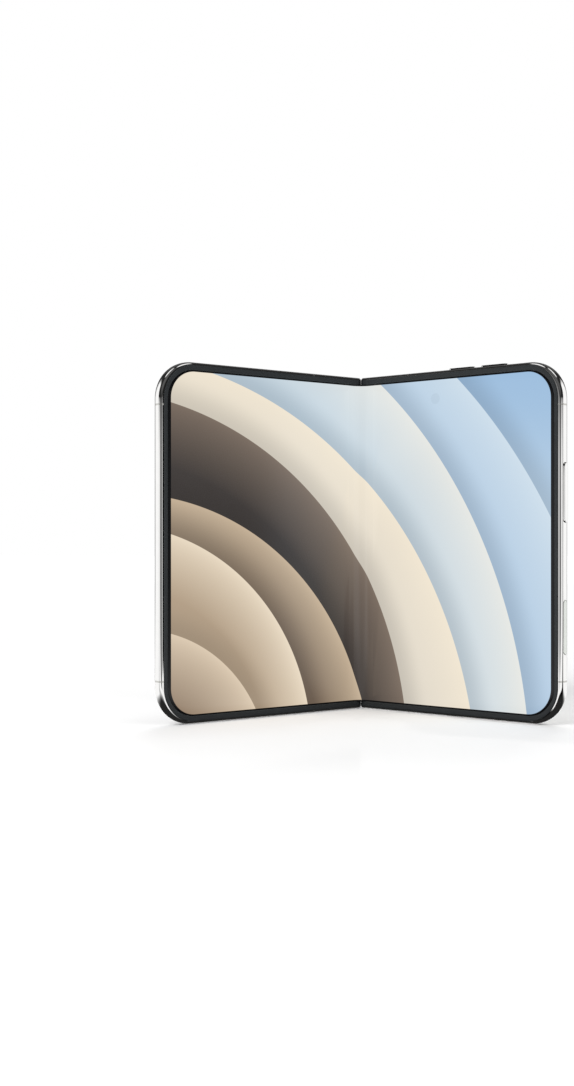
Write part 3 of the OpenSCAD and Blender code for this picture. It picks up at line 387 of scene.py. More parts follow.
class Wires:
    """Adds nodes to a tree and joins them in one call: a value or a socket for each input."""

    def __init__(self, tree):
        self.tree = tree

    def feed(self, socket, value):
        """Sets an input, or joins it to the socket that it is given."""
        if isinstance(value, bpy.types.NodeSocket):
            self.tree.links.new(value, socket)
        else:
            socket.default_value = value

    def node(self, kind, inputs=None, **settings):
        """A node with its settings, and each of its inputs fed by name or number."""
        made = self.tree.nodes.new(kind)
        for key, value in settings.items():
            setattr(made, key, value)
        for key, value in (inputs or {}).items():
            if value is not None:
                self.feed(made.inputs[key], value)
        return made

    def use(self, tree, **inputs):
        """What a shader group puts out, given its inputs with _ for each space."""
        named = {key.replace("_", " "): value for key, value in inputs.items()}
        return self.node("ShaderNodeGroup", named, node_tree=tree).outputs[0]

    def math(self, operation, a, b=None, c=None, clamp=False):
        """The operation on one, two or three values."""
        made = self.node("ShaderNodeMath", {0: a, 1: b, 2: c}, operation=operation, use_clamp=clamp)
        return made.outputs[0]

    def length(self, a, b):
        """Square root of a squared plus b squared."""
        squares = self.math("ADD", self.math("MULTIPLY", a, a), self.math("MULTIPLY", b, b))
        return self.math("SQRT", squares)

    def vector(self, operation, a, b=None, scale=None):
        """The operation on one or two vectors, or on a vector and a scale."""
        made = self.node("ShaderNodeVectorMath", {0: a, 1: b, "Scale": scale}, operation=operation)
        gives_value = operation in ("DISTANCE", "DOT_PRODUCT", "LENGTH")
        return made.outputs["Value" if gives_value else "Vector"]

    def apart(self, vector):
        """A vector's three values."""
        return self.node("ShaderNodeSeparateXYZ", {0: vector}).outputs

    def joined(self, x, y, z=0.0):
        """A vector of three values."""
        return self.node("ShaderNodeCombineXYZ", {0: x, 1: y, 2: z}).outputs[0]

    def grey(self, value):
        """A grey of that brightness."""
        return self.node("ShaderNodeCombineColor", {0: value, 1: value, 2: value}).outputs[0]

    def mix(self, share, a, b, blend="MIX"):
        """Colour a with a share of b over it."""
        made = self.node("ShaderNodeMix", {0: share, 6: a, 7: b}, data_type="RGBA", blend_type=blend)
        return made.outputs[2]

    def ramp(self, value, low, high, to_low=0.0, to_high=1.0, smooth=True):
        """The value taken from low to high over to to_low to to_high, smoothly or evenly."""
        made = self.node("ShaderNodeMapRange", {0: value, 1: low, 2: high, 3: to_low, 4: to_high},
                         interpolation_type="SMOOTHSTEP" if smooth else "LINEAR")
        return made.outputs[0]

    def point(self):
        """The object's own coordinates, in metres."""
        return self.node("ShaderNodeTexCoord").outputs["Object"]

    def noise(self, vector, scale, detail=2.0, roughness=0.5):
        """Soft noise from 0 to 1."""
        inputs = {"Vector": vector, "Scale": scale, "Detail": detail, "Roughness": roughness}
        return self.node("ShaderNodeTexNoise", inputs).outputs["Fac"]


def group(name, output, inputs):
    """Wires of an empty shader group, its given inputs and its one output. An input that starts at
    None is a colour; so is an output called Color. The rest are values."""
    tree = bpy.data.node_groups.new(name, "ShaderNodeTree")
    value_kind, colour_kind = "NodeSocketFloat", "NodeSocketColor"
    for label, start in inputs.items():
        kind = colour_kind if start is None else value_kind
        socket = tree.interface.new_socket(label, in_out="INPUT", socket_type=kind)
        if start is not None:
            socket.default_value = start
    kind = colour_kind if output == "Color" else value_kind
    tree.interface.new_socket(output, in_out="OUTPUT", socket_type=kind)
    given = tree.nodes.new("NodeGroupInput").outputs
    return Wires(tree), given, tree.nodes.new("NodeGroupOutput").inputs[0]


def handling_group():
    """Faint handling marks: a roughness a little above the clean one, in soft patches."""
    w, given, put = group("handling", "Roughness", {"Clean": 0.1, "Amount": 0.04, "Scale": 60.0})
    share = w.ramp(w.noise(w.point(), given["Scale"], 4.0, 0.6), 0.42, 0.72)
    w.feed(put, w.math("MULTIPLY_ADD", share, given["Amount"], given["Clean"]))
    return w.tree


def grain_group():
    """Fine grain for a bump: noise at the given scale, stretched along z by the stretch."""
    w, given, put = group("grain", "Height", {"Scale": 4000.0, "Stretch": 1.0})
    place = w.apart(w.point())
    drawn = w.joined(place["X"], place["Y"], w.math("DIVIDE", place["Z"], given["Stretch"]))
    w.feed(put, w.noise(drawn, given["Scale"], 3.0, 0.6))
    return w.tree


def mottle_group():
    """A colour with soft lighter and darker patches, as in moulded, plated or coated stock."""
    w, given, put = group("mottle", "Color", {"Color": None, "Amount": 0.1, "Scale": 300.0})
    level = w.ramp(w.noise(w.point(), given["Scale"], 3.0), 0.3, 0.7, -0.5, 0.5)
    gain = w.math("MULTIPLY_ADD", level, given["Amount"], 1.0)
    w.feed(put, w.vector("SCALE", given["Color"], scale=gain))
    return w.tree


HANDLING = handling_group()
GRAIN = grain_group()
MOTTLE = mottle_group()
GRAIN_DEPTH = 0.00002      # of the grain's bump, in metres


def new_material(name):
    """A material, the inputs of its Principled shader and the wires of its tree."""
    material = bpy.data.materials.new(name)
    material.use_nodes = True
    return material, material.node_tree.nodes["Principled BSDF"].inputs, Wires(material.node_tree)


def finish(name, colour, roughness, metallic=0.0, marks=0.03, marks_scale=60.0, grain=0.0,
           grain_scale=4000.0, stretch=1.0, mottle=0.05, mottle_scale=300.0, **more):
    """A Principled material: mottled colour, handling marks in the roughness and a fine grain bump."""
    material, shader, w = new_material(name)
    w.feed(shader["Base Color"], w.use(MOTTLE, Color=colour, Amount=mottle, Scale=mottle_scale))
    w.feed(shader["Roughness"], w.use(HANDLING, Clean=roughness, Amount=marks, Scale=marks_scale))
    if grain:
        height = w.use(GRAIN, Scale=grain_scale, Stretch=stretch)
        bump = w.node("ShaderNodeBump", {"Strength": grain, "Distance": GRAIN_DEPTH, "Height": height})
        w.feed(shader["Normal"], bump.outputs["Normal"])
    shader["Metallic"].default_value = metallic
    for key, value in more.items():
        shader[key.replace("_", " ")].default_value = value
    return material


# ---- the picture on the inner display ----

def ring_group():
    """One soft paper ring laid over the picture below it: everything nearer to the centre than the
    radius. It is light along its rim, deepens away from it and casts a soft shadow outside it."""
    w, given, put = group("paper_ring", "Color", {
        "Under": None, "Rim": None, "Deep": None, "U": 0.0, "V": 0.0, "Centre U": -1.0,
        "Centre V": -0.8, "Radius": 1.0, "Fade": 0.3})
    away = w.length(w.math("SUBTRACT", given["U"], given["Centre U"]),
                    w.math("SUBTRACT", given["V"], given["Centre V"]))
    within = w.math("SUBTRACT", given["Radius"], away)
    inside = w.ramp(within, -0.0006, 0.0006)
    depth = w.math("POWER", w.ramp(within, 0.0, given["Fade"], smooth=False), 0.75)
    paper = w.mix(depth, given["Rim"], given["Deep"])
    shadow = w.grey(w.ramp(within, -0.11, 0.0, 1.0, 0.78))
    w.feed(put, w.mix(inside, w.mix(1.0, given["Under"], shadow, "MULTIPLY"), paper))
    return w.tree


RING_INPUTS = ("Rim", "Deep", "Centre_U", "Centre_V", "Radius", "Fade")
RINGS = (
    (srgb(206, 222, 234), srgb(170, 197, 223), -1.00, -0.92, 2.06, 0.36),
    (srgb(230, 231, 226), srgb(193, 211, 224), -1.08, -0.80, 1.80, 0.32),
    (srgb(240, 229, 209), srgb(221, 214, 201), -0.98, -0.88, 1.49, 0.27),
    (srgb(124, 110, 98), srgb(64, 59, 56), -1.06, -0.78, 1.27, 0.21),
    (srgb(198, 178, 152), srgb(118, 102, 87), -0.96, -0.84, 1.00, 0.20),
    (srgb(234, 219, 196), srgb(178, 158, 134), -1.02, -0.74, 0.80, 0.20),
    (srgb(222, 204, 180), srgb(142, 122, 102), -0.94, -0.82, 0.54, 0.24))
SKY_TOP, SKY_LOW, SKY_RISE = srgb(158, 190, 221), srgb(184, 207, 227), 0.58
SPOT_LEVEL, SPOT_EDGE = 0.94, (0.017, 0.021)      # over the camera that is under the display


def display_material():
    """Lit display: soft paper rings read from the sheet's own map, a black border and a soft gloss."""
    material, shader, w = new_material("flexible_display")
    sheet = w.apart(w.node("ShaderNodeUVMap", uv_map="sheet").outputs[0])
    u, v = sheet["X"], sheet["Y"]
    picture = w.mix(w.ramp(v, 0.0, SKY_RISE), SKY_LOW, SKY_TOP)
    ring_tree = ring_group()
    for ring in RINGS:
        picture = w.use(ring_tree, Under=picture, U=u, V=v, **dict(zip(RING_INPUTS, ring)))
    # the camera under the display leaves a faint darker spot
    spot_u, spot_v = sheet_u(HIDDEN_CAMERA[0]), HIDDEN_CAMERA[1] - BODY_H / 2
    spot = w.length(w.math("SUBTRACT", u, spot_u / SHEET_UNIT),
                    w.math("SUBTRACT", v, spot_v / SHEET_UNIT))
    dim = w.ramp(spot, *SPOT_EDGE, SPOT_LEVEL, 1.0)
    # rounded-box distance to the edge of the lit area
    r = (CORNER_R - PANEL_INSET - (BORDER_SIDE + BORDER_END) / 2) / SHEET_UNIT
    half_u = (sheet_u(HALF_W - PANEL_INSET) - BORDER_SIDE) / SHEET_UNIT - r
    half_v = (BODY_H / 2 - PANEL_INSET - BORDER_END) / SHEET_UNIT - r
    over = [w.math("MAXIMUM", w.math("SUBTRACT", w.math("ABSOLUTE", along), half), 0.0)
            for along, half in ((u, half_u), (v, half_v))]
    lit = w.ramp(w.length(*over), r - BORDER_EDGE / SHEET_UNIT, r, 1.0, 0.0)
    level = w.grey(w.math("MULTIPLY", lit, dim))
    w.feed(shader["Emission Color"], w.mix(1.0, picture, level, "MULTIPLY"))
    shader["Emission Strength"].default_value = 1.0
    shader["Base Color"].default_value = (0.004, 0.004, 0.005, 1)
    w.feed(shader["Roughness"], w.use(HANDLING, Clean=0.22, Amount=0.05, Scale=35.0))
    shader["Specular IOR Level"].default_value = 0.35
    return material


# ---- finishes ----

for plain in bpy.data.materials:
    plain.name = "frame_" + plain.name

STEEL = finish("polished_steel", (0.94, 0.935, 0.925, 1), 0.045, metallic=1.0, marks=0.025,
               mottle=0.02, grain=0.02, grain_scale=9000.0)
RESIN = finish("antenna_resin", srgb(205, 204, 200), 0.14, metallic=0.9, marks=0.03, mottle=0.03)
CONTROL = finish("control_glass", srgb(226, 229, 224), 0.10, metallic=0.9, marks=0.02, mottle=0.02)
SPRING = finish("spring_steel", (0.50, 0.50, 0.50, 1), 0.28, metallic=1.0, grain=0.3, stretch=20.0)
BEZEL = finish("black_bezel", (0.024, 0.027, 0.029, 1), 0.38, marks=0.06, mottle=0.06, grain=0.12,
               grain_scale=9000.0, Specular_IOR_Level=0.3)
DISPLAY = display_material()
CABLE = finish("flat_cable", (0.42, 0.15, 0.02, 1), 0.4, mottle=0.15, mottle_scale=900.0, grain=0.1)
COVER_GLASS = finish("cover_glass", (0.012, 0.012, 0.014, 1), 0.06, marks=0.05, marks_scale=40.0,
                     mottle=0.2, Coat_Weight=0.6, Coat_Roughness=0.03)
WHITE_GLASS = finish("white_glass", srgb(238, 238, 234), 0.36, marks=0.05, marks_scale=30.0,
                     mottle=0.012, mottle_scale=60.0, grain=0.06, grain_scale=12000.0,
                     Coat_Weight=0.25, Coat_Roughness=0.30)
LENS_GLASS = finish("lens_glass", (0.62, 0.62, 0.67, 1), 0.02, marks=0.02, marks_scale=120.0,
                    mottle=0.0, Transmission_Weight=1.0, IOR=1.46)
BLACK = finish("camera_black", (0.012, 0.012, 0.013, 1), 0.38, marks=0.08, mottle=0.2, grain=0.2)
FLASH_LENS = finish("flash_lens", srgb(243, 226, 170), 0.18, marks=0.05, mottle=0.1, grain=0.8,
                    grain_scale=1600.0, Coat_Weight=0.8, Coat_Roughness=0.05)
AMBER = finish("amber_lens", (0.42, 0.20, 0.08, 1), 0.06, metallic=0.6, marks=0.02, mottle=0.1,
               Coat_Weight=1.0, Coat_Roughness=0.03, Coat_Tint=(1.0, 0.62, 0.35, 1))
BLUE = finish("blue_lens", (0.03, 0.09, 0.26, 1), 0.05, metallic=0.6, marks=0.02, mottle=0.1,
              Coat_Weight=1.0, Coat_Roughness=0.02, Coat_Tint=(0.45, 0.65, 1.0, 1))
# Finishes that only nodes of the frame wear
finish("chassis_aluminium", (0.55, 0.56, 0.58, 1), 0.34, metallic=1.0, grain=0.3, stretch=14.0)
finish("hinge_steel", (0.38, 0.38, 0.39, 1), 0.32, metallic=1.0, grain=0.25)
finish("screw_steel", (0.55, 0.55, 0.55, 1), 0.25, metallic=1.0, grain=0.2, mottle=0.1)
finish("cover_display", (0.006, 0.006, 0.008, 1), 0.12, marks=0.04)
finish("battery_wrap", (0.02, 0.02, 0.023, 1), 0.45, mottle=0.3, mottle_scale=120.0, grain=0.2)
finish("circuit_board", (0.008, 0.05, 0.025, 1), 0.35, mottle=0.8, mottle_scale=700.0, grain=0.5,
       grain_scale=1500.0)
finish("shield_can", (0.62, 0.62, 0.61, 1), 0.26, metallic=1.0, mottle=0.1, grain=0.3)
finish("copper_winding", (0.62, 0.22, 0.08, 1), 0.3, metallic=1.0, mottle=0.25, mottle_scale=500.0,
       grain=0.5, grain_scale=2500.0)
finish("module_plastic", (0.02, 0.02, 0.02, 1), 0.45, mottle=0.3, grain=0.3)
finish("magnet", (0.6, 0.6, 0.62, 1), 0.18, metallic=1.0, mottle=0.06)


def dress_cad_nodes():
    """Gives every node of the frame the finish that the record names for it."""
    for row in frame["record"]["subparts"]:
        for place in frame["nodes"][row["node"]].material_slots:
            place.material = bpy.data.materials[row["material_slot"]]


def settle(obj, body, slot, *nodes):
    """Rides a finished piece on its body in place of the nodes that it stands for."""
    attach(obj, body)
    if nodes:
        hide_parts(*nodes)


def dress(name, parts, material, body, *nodes, sharp=32):
    """Makes a piece and settles it."""
    settle(piece(name, parts, material, sharp), body, material.name, *nodes)


# ---- rail ----

def edge_inset(y):
    """How far the rail's outside stands back from the outline at y: a wide arc for the crowned side,
    and a tighter one that starts along it for each rounded edge."""
    off = np.abs(y - RAIL_MID_Y)
    crown = CROWN_R - np.sqrt(CROWN_R ** 2 - off ** 2)
    edge = EDGE_DEEP - np.sqrt(np.maximum(RAIL_EDGE_R ** 2 - (off - EDGE_MID) ** 2, 0))
    return np.where(off < CROWN_R * math.sin(CROWN_TURN), crown, edge)


def rounded(distance, r):
    """How far a corner rounded by r stands back at a distance from its side."""
    off = np.clip(r - distance, 0, r)
    return r - np.sqrt(r ** 2 - off ** 2)


def fold_end(inset, y):
    """t of a half's end beside the fold: a flat edge, a nose rounded about the pin in front of it,
    and a small rounded corner at the top and bottom edges."""
    ahead = np.clip(PIN_Y - y, 0, NOSE_R)
    base = np.where(y < PIN_Y, PIN_T - np.sqrt(NOSE_R ** 2 - ahead ** 2), EDGE_T)
    return np.maximum(base, EDGE_T) + rounded(inset, FOLD_CORNER_R)


def station(s):
    """Points of the outline and inward normals at distances s along it: from the fold along the
    bottom, up the side and back along the top."""
    past_corners = np.clip((s - RUN_T) / CORNER_R, 0, math.pi / 2)
    turn = past_corners + np.clip((s - SIDE_HIGH) / CORNER_R, 0, math.pi / 2)
    normal = np.stack([-np.sin(turn), np.cos(turn)], -1)
    centre_t = np.where(s < RUN_T, s, np.where(s > TOP_OUT, RUN_T - (s - TOP_OUT), RUN_T))
    centre = np.stack([centre_t, CORNER_R + np.clip(s - SIDE_LOW, 0, RUN_Z)], -1)
    return centre - normal * CORNER_R, normal


def outline_path(breaks=()):
    """Stations round a half, and whether a break's groove is cut at each: closer together round the
    corners, with doubled ones at the edges of the grooves."""
    clear, step = 0.3, 1e-4
    marks = way(NEAR_FOLD, (RUN_T, 44), (SIDE_LOW, 28), (SIDE_HIGH, 72), (TOP_OUT, 28),
                (OUTLINE_LEN - NEAR_FOLD, 44))
    grooves = [(middle - BREAK_W / 2, middle + BREAK_W / 2) for middle in breaks]
    for lo, hi in grooves:
        marks = marks[(marks <= lo - clear) | (marks >= hi + clear)]
        marks = np.append(marks, [lo, lo + step, (lo + hi) / 2, hi - step, hi])
    s = np.concatenate([[EDGE_T], np.sort(marks), [OUTLINE_LEN - EDGE_T]])
    groove = np.zeros(len(s), bool)
    for lo, hi in grooves:
        groove |= (s > lo + step / 2) & (s < hi - step / 2)
    return station(s), groove


def chain(points, more=0.0):
    """Chain of (inset, y, more) for swept_band, from points of (inset, y)."""
    return np.column_stack([points, np.broadcast_to(more, len(points))])


def swept_band(side, path, groove, outer, inner, across, ends=True):
    """Skin swept round a half. outer and inner are chains of (inset, y, more) with as many points
    each, and more is added to the inset along the side, in a share that grows round the corners.
    A groove takes everything outside its depth away."""
    base, normal = path

    def place(u, v, w):
        i, k = u.astype(int), w.astype(int)
        inset, y, more = (outer[k] * (1 - v)[:, None] + inner[k] * v[:, None]).T
        inset = inset + more * normal[i, 0] ** 2
        inset = np.where(groove[i], np.maximum(inset, BREAK_DEPTH), inset)
        y = np.where(groove[i], np.clip(y, SEAT_Y, GLASS_Y), y)
        t, z = (base[i] + normal[i] * inset[:, None]).T
        if ends:
            t = np.where((i == 0) | (i == len(base) - 1), fold_end(inset, y), t)
        return placed(side, t, y, z)

    return lattice(np.arange(len(base)), across, np.arange(len(outer)), place)


def rail_chains():
    """Outer and inner chains of the rail's section, from its front lip round to its back lip."""
    turn = math.degrees(CROWN_TURN)
    limit = math.degrees(math.acos((EDGE_DEEP - LIP_W + LIP_LAND) / RAIL_EDGE_R))
    edge_y = RAIL_Y[0] + RAIL_EDGE_R, RAIL_Y[1] - RAIL_EDGE_R
    front = arc((EDGE_DEEP, edge_y[0]), RAIL_EDGE_R, 180 + FRONT_TURN, 180 + turn, 13)
    crown = arc((CROWN_R, RAIL_MID_Y), CROWN_R, 180 + turn, 180 - turn, 10)[1:-1]
    back = arc((EDGE_DEEP, edge_y[1]), RAIL_EDGE_R, 180 - turn, 180 - limit, 13)
    outer = np.vstack([front, crown, back])
    inner = way((LAND_W, front[0, 1]), ((LAND_W, SEAT_Y), 2), ((RAIL_W, SEAT_Y), 4),
                ((RAIL_W, GLASS_Y), 20), ((LIP_W, GLASS_Y), 4), ((LIP_W, back[-1, 1]), 3))
    return chain(outer), chain(inner, np.where(np.arange(len(inner)) < 3, LAND_MORE, 0))


def block(side, t, y, z):
    """Plain box inside a half, from pairs of t, y and z."""
    return lattice(t, y, z, lambda a, b, c: placed(side, a, b, c))


def skin_strip(side):
    """Skin over the spine along the fold. Its ends carry on the rounded back of the rail and the
    small corner at the fold, and its edge at the fold is softened."""
    ts = EDGE_T + np.array([0.0, 0.02, 0.07, 0.14, GLASS_SOFT, 0.5, 0.8, FOLD_CORNER_R, 2.4, 3.8,
                            BAY_T + BAY_WALL - EDGE_T])
    zs = np.concatenate([[0.0], np.linspace(0.04, 0.96, 24), [1.0]])

    def place(u, v, w):
        y = np.minimum(v, RAIL_Y[1] - rounded(u - EDGE_T, GLASS_SOFT))
        end = np.maximum(edge_inset(y), rounded(u - EDGE_T, FOLD_CORNER_R)) + SKIN_INSET
        return placed(side, u, y, end + w * (BODY_H - 2 * end))

    return lattice(ts, np.linspace(GLASS_Y, RAIL_Y[1], 9), zs, place)


def rail_blocks(side):
    """Inside of the rail at the fold: end blocks above and below the spine, the wall of the space
    that it lies in, and the pads under the feet of the hinge arms."""
    wall = (BAY_T, BAY_T + BAY_WALL)
    bay = (BAY_Z - SHORT_LAP, BODY_H - BAY_Z + SHORT_LAP)
    parts = [block(side, wall, (FOOT_BACK, GLASS_Y), bay)]
    for z in HINGE_Z:
        pad = (z - FOOT_LEN / 2, z + FOOT_LEN / 2)
        parts.append(block(side, (BAY_T, FOOT_REACH), (FOOT_BACK, PAD_BACK), pad))
    levels = np.linspace(SEAT_Y, GLASS_Y + SHORT_LAP, 14)
    for low in (True, False):
        def place(u, v, w):
            t = np.where(u == 0, fold_end(v, w), wall[1])
            return placed(side, t, w, v if low else BODY_H - v)
        parts.append(lattice((0, 1), (RAIL_W - LAP, BAY_Z), levels, place))
    return parts


def rail_ring(side, where, middle, ring, depth):
    """A flat ring about the middle line of the rail's side, top or bottom, sunk into it by depth."""
    along, y = middle + ring[:, 0], RAIL_MID_Y + ring[:, 1]
    if where == "side":
        return placed(side, HALF_W - depth, y, along)
    return placed(side, along, y, depth if where == "bottom" else BODY_H - depth)


def rail_hole(side, where, middle, length, width):
    """Stadium prism through the rail."""
    ring, _ = stadium(length, width)
    return loop_stack([rail_ring(side, where, middle, ring, depth) for depth in HOLE_REACH])


def hole_cutters(side):
    """Holes through the rail's ends: sound holes, then port and screws, or two for microphones."""
    holes = [("bottom", *hole) for hole in SOUND_HOLES]
    if side == CAMERA:
        holes += [("bottom", *hole) for hole in PORT_SCREWS]
        port = [rail_hole(side, "bottom", PORT_T, PORT_W, PORT_H)]
    else:
        holes += [("bottom", *MIC_HOLE), ("top", *MIC_HOLE)]
        port = []
    return port + [rail_hole(side, where, t, 2 * r, 2 * r) for where, t, r in holes]


def button_cutters():
    """Holes in the rail for the four buttons, with a wider gap at each end of the raised ones."""
    return [rail_hole(CAMERA, where, middle, length + 2 * gap, BUTTON_W + 2 * BUTTON_GAP)
            for where, middle, length, gap in BUTTON_ROOMS]


def make_rail(side):
    """Polished rail of a half: a rounded section swept round the outline, grooved for the antenna
    breaks and pierced for buttons, port and sound holes."""
    path, groove = outline_path(BREAKS)
    band = swept_band(side, path, groove, *rail_chains(), (0, 0.05, 1))
    name = HALF_NAME[side]
    rail = piece(f"{name}_polished_rail", [band], STEEL)
    cut(rail, hole_cutters(side) + (button_cutters() if side == CAMERA else []))
    inside = [skin_strip(side)] + rail_blocks(side)
    dress(f"{name}_rail_inside", inside, STEEL, name, f"{name}_rail")
    settle(rail, name, "polished_steel", f"{name}_rail")


def make_breaks(side):
    """Antenna breaks: bands of resin that fill the rail's grooves, flush with the steel."""
    inset, y, _ = rail_chains()[0].T
    front = y < SEAT_Y
    depth = np.where(front, LAND_W, np.where(y > GLASS_Y, LIP_W, BREAK_DEPTH))
    outer = chain(np.stack([inset - BREAK_PROUD, y], -1))
    inner = chain(np.stack([depth, y], -1), np.where(front, LAND_MORE, 0))
    parts = []
    for middle in BREAKS:
        path = station(np.linspace(middle - BREAK_W / 2, middle + BREAK_W / 2, 4))
        parts.append(swept_band(side, path, np.zeros(4, bool), outer, inner, (0, 1), ends=False))
    name = HALF_NAME[side]
    dress(f"{name}_antenna_bands", parts, RESIN, name, f"{name}_antenna_breaks")


# ---- bezel and displays ----

def make_bezel(side):
    """Raised bezel with softened edges, swept round the display. It starts further in along the
    side, behind the rail's land."""
    low, high = BEZEL_INSET
    outside = arc((low + BEZEL_SOFT, BEZEL_SOFT), BEZEL_SOFT, 270, 180, 8)
    inside = arc((high - BEZEL_SOFT, BEZEL_SOFT), BEZEL_SOFT, 270, 360, 8)
    outer = chain(np.vstack([outside, [low, SEAT_Y]]), LAND_MORE)
    inner = chain(np.vstack([inside, [high, SEAT_Y]]))
    skin = swept_band(side, *outline_path(), outer, inner, np.linspace(0, 1, 7))
    name = HALF_NAME[side]
    dress(f"{name}_soft_bezel", [skin], BEZEL, name, f"{name}_bezel", sharp=50)


def plate(side, t0, inset, levels):
    """Plate with a half's round corners. levels are (y, extra inset) pairs through its thickness,
    and the plate's edge beside the fold stays at t0 plus the extra inset."""
    levels = np.asarray(levels, float)
    bunched = (1 - PLATE_SHARE) * np.sin(np.linspace(0, np.pi / 2, 22))[1:]
    us = np.concatenate([np.linspace(0, PLATE_SHARE, 26), PLATE_SHARE + bunched])

    def place(u, v, w):
        y, extra = levels[w.astype(int)].T
        total = inset + extra
        before = t0 + extra + u / PLATE_SHARE * (RUN_T - t0 - extra)
        beyond = RUN_T + (u - PLATE_SHARE) / (1 - PLATE_SHARE) * (HALF_W - total - RUN_T)
        t = np.where(u <= PLATE_SHARE, before, beyond)
        r = CORNER_R - total
        past = np.clip(t - RUN_T, 0, r)
        low = total + r - np.sqrt(np.maximum(r ** 2 - past ** 2, 0))
        return placed(side, t, y, low + v * (BODY_H - 2 * low))

    return lattice(us, np.linspace(0, 1, 41), np.arange(len(levels)), place)


def map_sheet(obj, side, distance):
    """Writes the sheet map: distance from the fold and height from the middle, in decimetres."""
    mesh = obj.data
    world = np.empty(len(mesh.vertices) * 3)
    mesh.vertices.foreach_get("co", world)
    world = world.reshape(-1, 3) / MM
    sheet = np.stack([side * distance(world), world[:, 2] - BODY_H / 2], -1) / SHEET_UNIT
    corner = np.empty(len(mesh.loops), int)
    mesh.loops.foreach_get("vertex_index", corner)
    layer = mesh.uv_layers.new(name="sheet")
    layer.data.foreach_set("uv", sheet[corner].ravel())


def half_distance(world):
    """Distance along the flattened display of points on a half, from where they stand at rest."""
    x, back = np.abs(world[:, 0]) - PIN_T, world[:, 1] - PIN_WORLD_Y
    return sheet_u(PIN_T + x * COS - back * SIN)


def make_display(side):
    """A half's flat part of the display, as a plate whose front edges are softened."""
    front, back = PANEL_Y
    levels = [(front, PANEL_SOFT), (front + PANEL_SOFT / 3, PANEL_SOFT / 3), (front + PANEL_SOFT, 0.0),
              (back, 0.0)]
    name = HALF_NAME[side]
    skin = plate(side, PLATE_T, PANEL_INSET, levels)
    obj = piece(f"{name}_lit_display", [skin], DISPLAY)
    map_sheet(obj, side, half_distance)
    settle(obj, name, "flexible_display", f"{name}_inner_display")


def fold_strip(side, front, thick, bend_r, reach, low):
    """Half of a thin sheet that bends round an arc at the fold and then follows a half.
    Gives the skin, the tangent point where the straight part starts and the arc's centre."""
    middle = front + thick / 2
    meet = fold_meet(middle)
    centre_y = PIN_Y - meet * SIN + (middle - PIN_Y) * COS - bend_r / COS
    straight = PIN_T + meet + bend_r * math.tan(TILT)

    def place(u, v, w):
        offset = (v - 0.5) * thick
        angle = np.clip(u, 0, 1) * TILT
        r = bend_r + offset
        bent = hinge_placed(side, r * np.sin(angle), centre_y + r * np.cos(angle), w)
        flat = placed(side, straight + (u - 1) * (reach - straight), middle + offset, w)
        return np.where((u <= 1)[:, None], bent, flat)

    us = way(0.0, (1.0, 24), (2.0, 6))
    skin = lattice(us, (0, 1), np.linspace(low, BODY_H - low, 60), place)
    return skin, hinge_placed(side, bend_r * SIN, centre_y + bend_r * COS, 0.0), centre_y


def bend_with_fold(obj, side, tangent, slot, *nodes):
    """Bakes a strip's place into its mesh and hides the nodes that it stands for."""
    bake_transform(obj)
    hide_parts(*nodes)


def make_fold_strips(side):
    """The display, its steel sheet and the flat cable across one side of the fold."""
    name = "cover_side" if side == COVER else "camera_side"
    skin, tangent, centre_y = fold_strip(side, *FOLD_DISPLAY)
    display = piece(f"{name}_display_fold", [skin], DISPLAY)

    def distance(world):
        from_centre = world[:, 1] - PIN_WORLD_Y + PIN_Y - centre_y
        angle = np.arctan2(np.abs(world[:, 0]), from_centre)
        return np.where(angle <= TILT + 1e-6, angle * FOLD_BEND_R, half_distance(world))

    map_sheet(display, side, distance)
    bend_with_fold(display, side, tangent, "flexible_display", "display_fold")
    skin, tangent, _ = fold_strip(side, *FOLD_SUPPORT)
    support = piece(f"{name}_support_sheet", [skin], SPRING)
    bend_with_fold(support, side, tangent, "spring_steel", "fold_support_sheet")
    skin, tangent, _ = fold_strip(side, *FOLD_CABLE)
    cable = piece(f"{name}_flat_cable", [skin], CABLE)
    bend_with_fold(cable, side, tangent, "flat_cable", "hinge_flex")


# ---- spine ----

def spine_ring(radius, front):
    """Section of the spine, open in front: round ends about the pins joined by a flat back."""
    start = math.degrees(math.asin((PIN_Y - front) / radius))
    return np.vstack([arc((PIN_T, PIN_Y), radius, -start, 90, 28),
                      arc((-PIN_T, PIN_Y), radius, 90, 180 + start, 28)])


def make_spine():
    """Spine cover as a bent channel with softened front edges, and its two end caps."""
    outer = spine_ring(SPINE_R, SPINE_FRONT)
    inner = spine_ring(SPINE_R - SPINE_WALL, SPINE_FRONT)

    def place(u, v, w):
        k = u.astype(int)
        x, y = (outer[k] * (1 - v)[:, None] + inner[k] * v[:, None]).T
        return hinge_placed(1, x, y, w)

    zs = np.linspace(SPINE_Z + SPINE_CAP, BODY_H - SPINE_Z - SPINE_CAP, 30)
    channel = lattice(np.arange(len(outer)), (0, 1), zs, place)
    dress("spine_channel", [channel], STEEL, "hinge_spine", "spine_cover")
    parts = []
    for end, up in ((SPINE_Z, 1), (BODY_H - SPINE_Z, -1)):
        rings = []
        for inset, rise in ((SPINE_SOFT, 0.0), (SPINE_SOFT * 0.3, SPINE_SOFT * 0.3),
                            (0.0, SPINE_SOFT), (0.0, SPINE_CAP)):
            ring = spine_ring(SPINE_R - inset, SPINE_FRONT + inset * 0.5)
            rings.append(hinge_placed(1, ring[:, 0], ring[:, 1], end + up * rise))
        parts.append(loop_stack(rings))
    dress("spine_soft_caps", parts, STEEL, "hinge_spine", "spine_end_caps")


